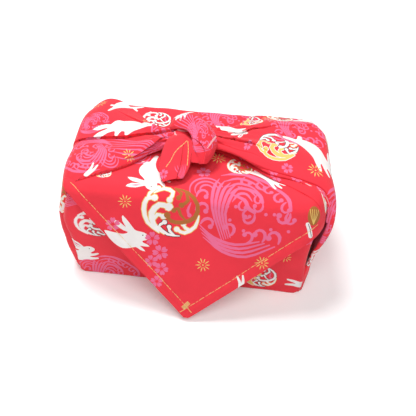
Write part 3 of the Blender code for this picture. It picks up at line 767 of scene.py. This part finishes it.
LEFT_PRINT = (
    ("wave", 12.3, 106.9, 11, -95, True), ("diving rabbit", 5.4, 133.3, 50, -95, True),
    ("wave", -24, 109.5, 20, 84, True), ("streams", -13, 146, 25, 76),
    ("burst", -24.4, 140.9, 5, -103, True), ("paws", -42.6, 115.5, 9.6, -159, True),
    ("burst", 40.4, 102.3, 6, -79, True), ("rabbit", 40, 128, 34, -120, True),
    ("burst", 18, 150, 5, 0), ("curls", -46, 78, 12, 40), ("curls", 25, 76, 17, 100),
    ("wave", -15, 51, 28, 80, True), ("rabbit", 30, 36, 36, -70),
    ("rabbit", -18, 10, 34, 100, True), ("blossom", 12, 14, 5.8, 0), ("blossom", 21, 9, 5.2, 35),
    ("burst", 44, 60, 5.4, 0), ("burst", -42, 28, 5.4, 20), ("curls", 46, 12, 13, 60),
    ("wave", 10, 172, 15, 100, True),
)
RIGHT_PRINT = (
    ("stretched rabbit", 4.6, 179, 31, 80, True), ("gilt curls", -13.2, 138.8, 16.4, -8),
    ("wave", 17, 122, 22, -82), ("rabbit", -10.4, 110.5, 46, -138),
    ("burst", -31.5, 110.6, 5.9, -78), ("rabbit", 36, 104, 34, -100),
    ("gilt curls", 21.4, 161.8, 11, -60), ("burst", 30, 144.6, 5.2, 0),
    ("curls", 38, 134, 10, -60), ("blossom", -36, 132, 4.6, 0), ("blossom", -17, 164, 4.8, 30),
    ("wave", -45, 78, 20, -20), ("curls", 20, 81, 16, -60), ("wave", -15, 47, 27, -80),
    ("rabbit", 30, 52, 36, -110), ("burst", 42, 78, 5.4, 0), ("inked curls", -52, 42, 9, -60),
    ("rabbit", -32, 14, 32, -80, True), ("blossom", 4, 12, 5.8, 20), ("blossom", 13, 8, 5.2, 50),
    ("curls", 40, 14, 15, 20),
)
STRIP_PRINT = (
    # the "lip" lines are painted highlights along the strip's folded edge
    ("lip", -5.3, 14, 16, 88), ("lip", -5.3, 30, 14, 92), ("blossom", -4, 24, 4.6, 0),
    ("blossom", -3.5, 44, 4.6, 30), ("wave", -2, 4, 12, 0), ("blossom", -3, 62, 4, 0),
)
BAND_PRINT = (
    ("blossom", -3, 52, 4.6, -74), ("curls", 5, 6, 9, -30), ("blossom", 1.1, 82, 3.9, -75),
    ("burst", 3, 34, 4.6, -48),
)
STRAP_PRINT = (
    ("plump rabbit", 4, 27, 20, 190), ("wave", -1.7, 52, 13, -154, True),
    # the "lip" line is a painted highlight along the strap's edge
    ("streams", -4, 37, 15, 100), ("lip", 6, 60, 14, 150),
)
HEART_PRINT = (("curls", 22, 16, 9, 0), ("burst", -34, 12, 4, 0))
TAIL_PRINT = (
    # the "lip" lines are painted highlights along the tail's top edge
    ("streams", 6.5, 41, 8, 70), ("blossom", -7, 41, 3.6, 177, True), ("lip", 0, 1, 12, 0),
    ("lip", -5.4, 4.4, 9, 62),
)
BASE_PRINT = (
    ("wave", -50, 40, 30, 0), ("curls", 10, 70, 21, 0), ("rabbit", -5, 30, 34, 20),
    ("wave", 56, 44, 29, 180, True), ("rabbit", -45, 92, 34, 170, True), ("burst", 40, 92, 5.4, 0),
    ("blossom", -14, 96, 6, 0), ("blossom", -22, 90, 5.4, 30),
)


# Cutting out and sewing together

class Cloth:
    """The pieces gathered into one mesh."""

    def __init__(self):
        self.parts, self.count = [], 0

    def add(self, piece, outline, spacing, shapes=(), lines=()):
        """Cuts the piece out along its outline and its print, and folds it into place."""
        low, high = outline.min(axis=0), outline.max(axis=0)
        lattice = []
        for number, row in enumerate(np.arange(low[1], high[1], spacing * ROW_SHARE)):
            places = np.arange(low[0] + (number % 2) * spacing / 2, high[0], spacing)
            lattice.append(np.stack([places, np.full(len(places), row)], axis=1))
        lattice = np.concatenate(lattice)
        lattice = lattice[inside(lattice, outline)]
        shapes = [(shape, shade) for shape, shade in shapes
                  if (shape.max(axis=0) > low).all() and (shape.min(axis=0) < high).all()]
        loops = [(loop, True) for loop in (outline, *(shape for shape, _ in shapes))]
        creases = [spline(fold.line, 8) + (shift, 0) for fold in piece.folds
                   if hasattr(fold, "line") for shift in CREASE_CUTS]
        for line in (*creases, *lines):
            kept = line[inside(line, outline)]
            if len(kept) > 1:
                loops.append((kept, False))
        points, edges = lattice.tolist(), []
        for loop, is_closed in loops:
            start = len(points)
            points += loop.tolist()
            edges += [(start + n, start + n + 1) for n in range(len(loop) - 1)]
            if is_closed:
                edges.append((start + len(loop) - 1, start))
        cut = delaunay_2d_cdt([Vector(p) for p in points], edges, [], 0, MERGE, False)
        flat, faces = np.array([tuple(v) for v in cut[0]]), np.array(cut[2])
        middles = flat[faces].mean(axis=1)
        kept = inside(middles, outline)
        faces, middles = faces[kept], middles[kept]
        shades = np.full(len(faces), RED)
        for shape, shade in shapes:
            low, high = shape.min(axis=0), shape.max(axis=0)
            near = np.flatnonzero(((middles > low) & (middles < high)).all(axis=1))
            shades[near[inside(middles[near], shape)]] = shade
        placed, normals = piece.place(flat), piece.normal_at(flat)
        self.parts.append((placed, normals, flat, faces + self.count, shades))
        self.count += len(flat)

    def mesh(self, name):
        """The joined mesh, with a map in metres of flat cloth."""
        *fields, faces, shades = (np.concatenate(part) for part in zip(*self.parts))
        used, faces = np.unique(faces, return_inverse=True)
        faces = faces.reshape(-1, 3)
        points, normals, flats = (field[used] for field in fields)
        a, b, c = (points[faces[:, n]] for n in range(3))
        wrong = (np.cross(b - a, c - a) * normals[faces].sum(axis=1)).sum(axis=1) < 0
        faces[wrong] = faces[wrong][:, ::-1]
        data = bpy.data.meshes.new(name)
        data.from_pydata((points * MM).tolist(), [], faces.tolist())
        layer = data.uv_layers.new(name="flat")
        layer.data.foreach_set("uv", (flats[faces.ravel()] * MM).ravel())
        data.polygons.foreach_set("material_index", shades.astype(np.int32))
        data.shade_smooth()
        data.normals_split_custom_set_from_vertices(normals.tolist())
        data.update()
        return data


# Surfaces

def face_section(height, left, right, front_left, front_right, radius):
    """Section of the near corner at a height, from one end round the front to the other."""
    turns = np.linspace(0, math.pi / 2, 12)
    halves = []
    for side, end, front, lean in zip((-1, 1), (left, right), (front_left, front_right), FACE_LEAN):
        x = np.append(end - radius + radius * np.sin(turns), end + lean)
        y = np.append(radius - front - radius * np.cos(turns), radius + END_LAP - front)
        halves.append(np.stack([side * x, y, np.full(len(x), height)], axis=1))
    return np.concatenate([halves[0][::-1], halves[1]])


def panel_profile():
    """Middle line of the rear panel as (y, z), from the hanging point up, over and down."""
    tip = np.array((-FRONT - FLAP_REACH, FLAP_TIP_HEIGHT))
    top = TOP + 0.9
    slope = math.atan2(top - FLAP_TIP_HEIGHT, FLAP_REACH)
    turn_start = -FRONT + 1.5 + FLAP_ROLL * math.tan(slope / 2)
    turns = slope * np.linspace(1, 0, 10)
    rolled = np.stack([turn_start - FLAP_ROLL * np.sin(turns),
                       top - FLAP_ROLL * (1 - np.cos(turns))], axis=1)
    hanging = tip + (rolled[0] - tip) * np.linspace(0, 1, 50)[:-1, None]
    flat_top = [(y, top) for y in np.linspace(turn_start + 2, -9, 12)]
    behind = [(-2, TOP + 0.5), (6, TOP + 0.3)] + [(y, TOP + 0.3) for y in (14, 22, 30, 36)]
    down = [(back, height) for height, _, _, back in reversed(BOX_LEVELS)]
    over = [(41.0, TOP), (46.0, TOP - 0.8)]
    return np.concatenate([hanging, rolled, flat_top, behind, over, down])


def panel():
    """The rear corner: up the back, over the top and down the front."""
    profile = panel_profile()
    profile = evenly(profile, int(lengths_along(profile)[-1] / PANEL_STEP))
    way = unit(np.gradient(profile, axis=0))
    inward = np.stack([way[:, 1], -way[:, 0]], axis=1)
    across = np.linspace(*PANEL_SIDES, 140)
    levels = np.array(BOX_LEVELS).T
    wave_depth, wave_length, wave_phase = FLAP_WAVE
    wave = np.sin((across + FLAP_TIP_X) / wave_length + wave_phase)
    grid = np.zeros((len(profile), len(across), 3))
    for number, ((y, z), (in_y, in_z)) in enumerate(zip(profile, inward)):
        ends = PANEL_ENDS
        if y > BACK_EDGE:
            ends = [min(np.interp(z, levels[0], levels[column]) - BOX_CORNER, end + (TOP - z))
                    for column, end in zip((1, 2), PANEL_ENDS)]
        boxed = float(np.clip((y + FREE_FROM[0]) / FREE_FROM[1], 0, 1))
        hangs = min(1.0, max(0.0, (TOP - z) / WAVE_RISE)) if y < 0 else 0.0
        for side, start, (bend, rate) in zip((-1, 1), ends, FLAP_BENDS):
            reach = side * across
            past = np.maximum(reach - start, 0)
            turn = np.minimum(past / PANEL_BEND, math.pi / 2)
            bent_x = start + PANEL_BEND * np.sin(turn)
            bent_in = (PANEL_BEND * (1 - np.cos(turn))
                       + np.maximum(past - PANEL_BEND * math.pi / 2, 0))
            hung_in = rate * np.maximum(reach - bend, 0) ** 2
            x = np.where(past > 0, bent_x, reach) * boxed + reach * (1 - boxed)
            drop = bent_in * boxed + hung_in * (1 - boxed) - wave_depth * hangs * wave
            points = np.stack([side * x, y + in_y * drop, z + in_z * drop], axis=1)
            grid[number, reach > 0] = points[reach > 0]
    piece = Piece(grid)
    piece.along = lengths_along(profile)
    piece.width = np.full(len(profile), across[-1] - across[0])
    piece.middle = -across[0] / (across[-1] - across[0])

    def hem_line(flat):
        right = flat[:, 0] > FLAP_TIP_X
        slope = np.where(right, FLAP_SLOPES[1], FLAP_SLOPES[0])
        length = np.sqrt(1 + slope ** 2)
        past = (np.abs(flat[:, 0] - FLAP_TIP_X) * slope - flat[:, 1] - FLAP_POINT) / length
        past = np.where(flat[:, 1] > FLAP_END, -1.0, past)
        side = np.where(right, 1.0, -1.0)
        return past, np.stack([side * slope, -np.ones_like(side)], axis=1) / length[:, None]
    piece.hem_line = hem_line
    return piece


def panel_outline(piece):
    """Cut of the rear panel in flat coordinates: the point's hems, then its hidden sides."""
    spare = math.pi * HEM_ROLL + HEM_WIDTH
    left_drop, right_drop = (spare * math.hypot(1, slope) + FLAP_POINT for slope in FLAP_SLOPES)
    end = piece.along[-1] - 0.5
    corners = (
        (FLAP_TIP_X, 6 - spare * math.sqrt(2)),
        (91, (91 - FLAP_TIP_X) * FLAP_SLOPES[1] - right_drop),
        (94, 82), (95, 100), (97, 190), (97, end), (-101, end), (-101, 190), (-99, 112),
        (-97.5, 100 - left_drop * 0.5), (FLAP_TIP_X - 93, 93 * FLAP_SLOPES[0] - left_drop),
    )
    outline = []
    for start, finish in zip(corners, corners[1:] + corners[:1]):
        start, finish = np.array(start), np.array(finish)
        steps = max(1, int(np.linalg.norm(finish - start) / 3.0))
        outline += [start + (finish - start) * k / steps for k in range(steps)]
    return np.array(outline)


def panel_hems():
    """Lines along the rounded hems of the rear panel's point."""
    lines = []
    for side, reach, slope in zip((-1, 1), HEM_REACHES, FLAP_SLOPES):
        places = np.arange(0.0, reach, 2.6)
        for turn in HEM_TURNS:
            past = HEM_ROLL * turn * math.hypot(1, slope)
            lines.append(np.stack([FLAP_TIP_X + side * (places + FLAP_POINT / slope),
                                   places * slope - past], axis=1))
    return lines


def hem_relief(piece):
    """The layers of the turned hem show through, and its sewing draws the cloth in."""
    def fold(across, along):
        past = piece.hem_line(np.stack([across, along], axis=1))[0]
        padded = HEM_PADDING[0] * np.exp(-((past + STITCH_INSET * 0.5) / HEM_PADDING[1]) ** 2)
        drawn_in = STITCH_DRAW[0] * np.exp(-((past + STITCH_INSET) / STITCH_DRAW[1]) ** 2)
        return padded - drawn_in, np.zeros_like(across)
    return fold


def front_panel():
    """The near corner's part that shows, on the front face."""
    sections = [evenly(face_section(*level), 180) for level in FACE_LEVELS]
    return Piece(spline(sections, 6))


def strap_grid(rows, across, steps):
    """Grid over a soft strip between two edges, with a crown."""
    table = spline([row[0] + row[1] + (row[2],) for row in rows], steps)
    middles = (table[:, 0:3] + table[:, 3:6]) / 2
    share = np.linspace(0, 1, across)[:, None]
    grid = []
    for row, way in zip(table, np.gradient(middles, axis=0)):
        right, left, crown = row[0:3], row[3:6], row[6]
        up = -unit(np.cross(right - left, way))
        grid.append(left + (right - left) * share
                    + up * (1.0 + crown * np.sin(math.pi * share)))
    return np.array(grid)


def knot_heart():
    """Grid over the gathered cloth at the middle of the knot, from its foot to its crown."""
    turns = np.linspace(0, 2 * math.pi, 60)
    return [[np.array(KNOT_CENTRE) + np.array(KNOT_RADII) * (math.cos(turn) * math.cos(rise),
                                                             math.sin(turn) * math.cos(rise),
                                                             math.sin(rise)) for turn in turns]
            for rise in np.radians(np.linspace(*KNOT_RISES, 20))]


def uneven(height, length=34.0, phase=0.0):
    """Slow unevenness of cloth that isn't drawn quite tight."""
    waves = (
        # across, along (cycles over the length), share of the height, phase
        (1.0, 0.35, 0.5, 0.3), (-0.6, 0.9, 0.45, 1.9), (1.7, -0.8, 0.22, 4.0),
        (0.4, 2.1, 0.16, 2.7),
    )

    def fold(across, along):
        lift = np.zeros_like(across)
        for kx, ky, part, shift in waves:
            angle = 2 * math.pi * (kx * across + ky * along) / length + shift + phase
            lift += height * part * np.sin(angle)
        return lift, np.zeros_like(across)
    return fold


# Building the cloth

cloth = Cloth()


def lay(piece, rows, edge, spacing, hems=(0.0, 0.0), fold_step=None, sides=(0, 1)):
    """Adds a whole piece with the print in the rows.

    edge and fold_step are the steps along its outline and along its folded hems, spacing is
    the size of its triangles and hems are the allowances at its left and its right side.
    """
    lines = piece.fold_lines(fold_step, sides) if fold_step else ()
    cloth.add(piece, piece.strip_outline(edge, *hems), spacing, printed(rows), lines)


def hidden(grid):
    """A layer that other layers cover."""
    lay(Piece(grid), (), HIDDEN_SPACING, HIDDEN_SPACING)


rear = panel()
rear.folds += [uneven(0.35), hem_relief(rear)]
cloth.add(rear, panel_outline(rear), 3.1, printed(REAR_PRINT), panel_hems())

front = front_panel()
front.folds.append(uneven(0.3, 40.0, 1.0))
lay(front, FRONT_PRINT, 3.4, 3.4)

left_wing = Piece(lofted(LEFT_WING, 110, 8), -1, 1.5, LEFT_CREASES)
left_wing.folds += [
    ripple(left_wing, 4.5, ((125, 0.0), (150, 0.5), (170, 1.0), (260, 0.6)), 0.6),
    uneven(0.6, 45.0, 0.5),
]
lay(left_wing, LEFT_PRINT, 2.5, 2.6, (9.0, 8.0), 1.8)

right_wing = Piece(lofted(RIGHT_WING, 110, 8), 1, 1.3, RIGHT_CREASES)
right_wing.folds += [
    ripple(right_wing, 4.0, ((135, 0.0), (160, 0.5), (185, 0.9), (280, 0.5)), 2.0),
    uneven(0.6, 48.0, 2.2),
]
lay(right_wing, RIGHT_PRINT, 2.5, 2.6, (9.0, 8.0), 1.8)

strip = Piece(lofted(RIGHT_STRIP, 12, 8), roll=0.9)
lay(strip, STRIP_PRINT, 2.5, 2.2, (4.0, 0.0), 1.5, sides=(0,))

band = Piece(lofted(RIGHT_BAND, 24, 8), roll=0.9)
band.folds.append(uneven(0.5, 30.0, 0.8))
lay(band, BAND_PRINT, 2.5, 2.2, (6.0, 0.0), 1.5, sides=(0,))

heart = Piece(knot_heart(), roll=0.6)
heart.folds.append(ripple(heart, 7.0, ((0, 0.7), (14, 0.8), (30, 0.3)), 0.4))
lay(heart, HEART_PRINT, 2.5, 2.2)

strap = Piece(strap_grid(STRAP, 40, 10), -1, 0.8, STRAP_CREASES)
strap.folds.append(uneven(0.4, 22.0, 0.3))
lay(strap, STRAP_PRINT, 2.0, 1.8, (5.0, 5.0), 1.2)

tail_fold = Piece(strap_grid(TAIL_FOLD, 20, 8), -1, roll=0.6)
lay(tail_fold, (), 1.5, 1.5, (2.0, 2.0), 1.2)

tail = Piece(strap_grid(TAIL, 40, 10), -1, 0.7, TAIL_CREASES)
tail.folds.append(uneven(0.3, 20.0, 1.1))
lay(tail, TAIL_PRINT, 2.0, 1.8, (5.0, 5.0), 1.2)

# the base, and the near corner over the top of the box and tucked down its back
base = Piece([[(x, y, 0.3) for x in (90, -90)] for y in (-60, 60)])
rim = evenly(np.array(BASE_OUTLINE, float), 120)[:-1] + (0, 60)
cloth.add(base, rim, 6.0, printed(BASE_PRINT))
hidden([[(x, y, TOP - 1.4) for x in (-80, 0, 76)] for y in (-44, 0, 39)])
hidden([[(-76 * z / 88, 51.0, z), (0, 51.5, z), (76 * z / 88, 51.0, z)]
        for z in (3.0, 45.0, 88.0)])
# the pleats folded over the ends under the gathered corners
for depth in (2.0, 3.4):
    for side, column in ((-1, 1), (1, 2)):
        hidden([[(side * (level[column] - depth), y, level[0]) for y in (-44, 0, 42)]
                for level in BOX_LEVELS[2:9]])
# the second layer of each gathered corner
for wing in (left_wing, right_wing):
    inner = wing.grid - wing.normals * INNER_LAYER
    rows, columns = inner.shape[:2]
    hidden(inner[int(rows * 0.42):int(rows * 0.92), int(columns * 0.12):int(columns * 0.88)])


# Sewing

class Thread:
    """Stitches that lie on a piece of the cloth, gathered into one mesh."""

    LENGTH, GAP, HALF_WIDTH, RISE = 2.7, 0.25, 0.27, 0.34   # in millimetres

    def __init__(self):
        self.points, self.faces = [], []

    def stitch(self, piece, start, end):
        """One stitch between two flat places: thin, rounded and sunk in at its ends."""
        start, end = np.array(start, float), np.array(end, float)
        way = (end - start) / np.linalg.norm(end - start)
        side = np.array((-way[1], way[0])) * self.HALF_WIDTH
        first = len(self.points)
        for share, rise in ((0.0, 0.3), (0.12, 0.9), (0.5, 1.0), (0.88, 0.9), (1.0, 0.3)):
            flat = start + (end - start) * share + side * np.array(((-1,), (-0.5,), (0.5,), (1,)))
            lift = np.array(((-0.2,), (rise,), (rise,), (-0.2,))) * self.RISE
            self.points += list(piece.place(flat) + piece.normal_at(flat) * lift)
        for corner in (first + row * 4 + column for row in range(4) for column in range(3)):
            self.faces.append((corner, corner + 1, corner + 5, corner + 4))

    def run(self, piece, path):
        """Running stitches along a line of flat places."""
        path = np.array(path, float)
        along = lengths_along(path)
        for start in np.arange(0.3, along[-1] - self.LENGTH, self.LENGTH + self.GAP):
            ends = [[np.interp(place, along, path[:, axis]) for axis in (0, 1)]
                    for place in (start, start + self.LENGTH)]
            self.stitch(piece, *ends)

    def mesh(self, name):
        data = bpy.data.meshes.new(name)
        data.from_pydata((np.array(self.points) * MM).tolist(), [], self.faces)
        data.shade_smooth()
        return data


def flap_seam(side, slope, reach):
    """The line of sewing along one hem of the point, on past the other to the edge."""
    inset = STITCH_INSET * math.hypot(1, slope) - FLAP_POINT
    places = np.linspace(-5.2, reach, 30)
    return [(FLAP_TIP_X + side * place, place * slope + inset) for place in places]


thread = Thread()
for side, slope, reach in zip((-1, 1), FLAP_SLOPES, SEAM_REACHES):
    thread.run(rear, flap_seam(side, slope, reach)[::-1])
for shift in BARTACK_ROWS:
    thread.stitch(rear, *([across + shift, along - shift] for across, along in BARTACK))
for line in TAIL_SEAMS:
    thread.run(tail, line)


# Materials

def chain(tree, kind, settings, inputs):
    """A node with its settings, and its inputs set or linked by socket name or number."""
    node = tree.nodes.new("ShaderNode" + kind)
    for name, value in settings.items():
        setattr(node, name, value)
    for socket, value in inputs.items():
        if hasattr(value, "is_output"):
            tree.links.new(value, node.inputs[socket])
        else:
            node.inputs[socket].default_value = value
    return node


# The cotton's threads, in millimetres, and the tone of its dye
THREAD_PITCH = 0.38      # from one thread of the weave to the next
THREAD_DEPTH = 0.09
THREAD_STRENGTH = 0.35   # of the weave's bump
TONES = (0.3, 0.7)       # from this part of the slow noise
DYE_STRENGTHS = (0.93, 1.05)   # to these shares of the colour's value


def calculated(tree, operation, *inputs):
    """The value of a math node."""
    return chain(tree, "Math", {"operation": operation}, dict(enumerate(inputs))).outputs[0]


def woven(tree):
    """Plain weave in the flat cloth's own directions: gives its bump and its unevenness."""
    flat = chain(tree, "UVMap", {"uv_map": "flat"}, {}).outputs[0]
    parts = chain(tree, "SeparateXYZ", {}, {0: flat})
    turns = math.pi / (THREAD_PITCH * MM)
    waves = [calculated(tree, "SINE", calculated(tree, "MULTIPLY", parts.outputs[axis], turns))
             for axis in range(2)]
    threads = calculated(tree, "MULTIPLY", *waves)
    slubs = chain(tree, "TexNoise", {"noise_dimensions": "3D"},
                  {"Vector": flat, "Scale": 420.0, "Detail": 2.0, "Roughness": 0.6})
    height = calculated(tree, "ADD", threads, slubs.outputs[0])
    bump = chain(tree, "Bump", {}, {"Strength": THREAD_STRENGTH, "Distance": THREAD_DEPTH * MM,
                                    "Height": height})
    tone = chain(tree, "TexNoise", {"noise_dimensions": "3D"},
                 {"Vector": flat, "Scale": 26.0, "Detail": 5.0, "Roughness": 0.62})
    return bump.outputs[0], tone.outputs[0]


def surface(name, values):
    """A new material, its nodes and its shader with the values of some of its sockets."""
    material = bpy.data.materials.new(name)
    material.use_nodes = True
    tree = material.node_tree
    shader = tree.nodes["Principled BSDF"]
    for socket, value in values.items():
        shader.inputs[socket].default_value = value
    return material, tree, shader


def cotton(name, colour):
    """Plain-woven printed cotton: matt, with a soft sheen, fine threads and an uneven dye."""
    material, tree, shader = surface("cotton_" + name, {
        "Roughness": 0.86, "Specular IOR Level": 0.28, "Sheen Weight": 0.22,
        "Sheen Roughness": 0.45, "Sheen Tint": (1.0, 0.82, 0.80, 1.0)})
    bump, tone = woven(tree)
    worn = chain(tree, "MapRange", {}, dict(enumerate((tone, *TONES, *DYE_STRENGTHS))))
    dyed = chain(tree, "HueSaturation", {}, {"Color": (*colour, 1.0), "Value": worn.outputs[0]})
    tree.links.new(dyed.outputs[0], shader.inputs["Base Color"])
    tree.links.new(bump, shader.inputs["Normal"])
    return material


def gold_thread():
    """Twisted polyester thread with a soft shine."""
    material, tree, shader = surface("gold_thread", {
        "Base Color": (0.86, 0.56, 0.20, 1.0), "Roughness": 0.42, "Sheen Weight": 0.3})
    place = chain(tree, "TexCoord", {}, {}).outputs["Object"]
    twist = chain(tree, "TexWave", {"bands_direction": "DIAGONAL"},
                  {"Vector": place, "Scale": 900.0})
    bump = chain(tree, "Bump", {}, {"Strength": 0.4, "Distance": 0.05 * MM,
                                    "Height": twist.outputs["Fac"]})
    tree.links.new(bump.outputs[0], shader.inputs["Normal"])
    return material


def show(name, data):
    piece = bpy.data.objects.new(name, data)
    bpy.context.scene.collection.objects.link(piece)
    return piece


data = cloth.mesh("furoshiki_cloth_sheet")
for name, colour in COLOURS:
    data.materials.append(cotton(name, colour))
sheet = show("furoshiki_cloth_sheet", data)
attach(sheet, "root")
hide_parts("furoshiki_cloth")
seams = show("hem_stitches", thread.mesh("hem_stitches"))
seams.data.materials.append(gold_thread())
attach(seams, "root")


# Stage: pale floor, soft light and the photo's camera

FLOOR_HALF = 4           # half its side, in metres
FLOOR_GLOW = 0.19
LAMP_AIM = (0, 0, 0.05)
LAMPS = (
    # name, place, diameter in metres, power in watts
    ("key", (-0.35, 0.26, 1.35), 0.5, 14.5),
    ("fill", (0.1, -0.66, 1.35), 0.8, 9.5),
)
WORLD_STRENGTH = 0.23
SENSOR = 36              # width in millimetres
FOCAL = 700 / 416        # focal length in widths of the picture
CAMERA_PLACE = (0.0024, -0.4238, 0.4312)
CAMERA_ANGLES = (43.49, 0.79, 5.8)   # degrees down, to the right and rolled


def floor():
    corners = [(x * FLOOR_HALF, y * FLOOR_HALF, 0) for x, y in ((-1, -1), (1, -1), (1, 1), (-1, 1))]
    data = bpy.data.meshes.new("floor")
    data.from_pydata(corners, [], [(0, 1, 2, 3)])
    material, _, _ = surface("floor", {
        "Base Color": (0.9, 0.89, 0.89, 1.0), "Roughness": 0.9,
        "Emission Color": (1.0, 0.99, 0.99, 1.0), "Emission Strength": FLOOR_GLOW})
    data.materials.append(material)
    ground = show("floor", data)


def lamp(name, place, size, power):
    data = bpy.data.lights.new(name, "AREA")
    data.shape, data.size, data.energy = "DISK", size, power
    light = show(name, data)
    light.location = place
    aim = Vector(LAMP_AIM) - Vector(place)
    light.rotation_euler = aim.to_track_quat("-Z", "Y").to_euler()


def camera():
    data = bpy.data.cameras.new("camera")
    data.lens, data.sensor_width = FOCAL * SENSOR, SENSOR
    pitch, yaw, roll = (math.radians(angle) for angle in CAMERA_ANGLES)
    ahead = np.array((math.sin(yaw) * math.cos(pitch), math.cos(yaw) * math.cos(pitch),
                      -math.sin(pitch)))
    level = np.array((math.cos(yaw), -math.sin(yaw), 0.0))
    above = np.cross(level, ahead)
    right = math.cos(roll) * level + math.sin(roll) * above
    up = -math.sin(roll) * level + math.cos(roll) * above
    viewer = show("camera", data)
    viewer.matrix_world = Matrix([*zip(right, up, -ahead, CAMERA_PLACE), (0, 0, 0, 1)])
    bpy.context.scene.camera = viewer


def world():
    data = bpy.data.worlds.new("studio")
    data.use_nodes = True
    background = data.node_tree.nodes["Background"]
    background.inputs["Color"].default_value = (1, 1, 1, 1)
    background.inputs["Strength"].default_value = WORLD_STRENGTH
    bpy.context.scene.world = data


floor()
for row in LAMPS:
    lamp(*row)
camera()
world()
bpy.context.scene.view_settings.view_transform = "Standard"
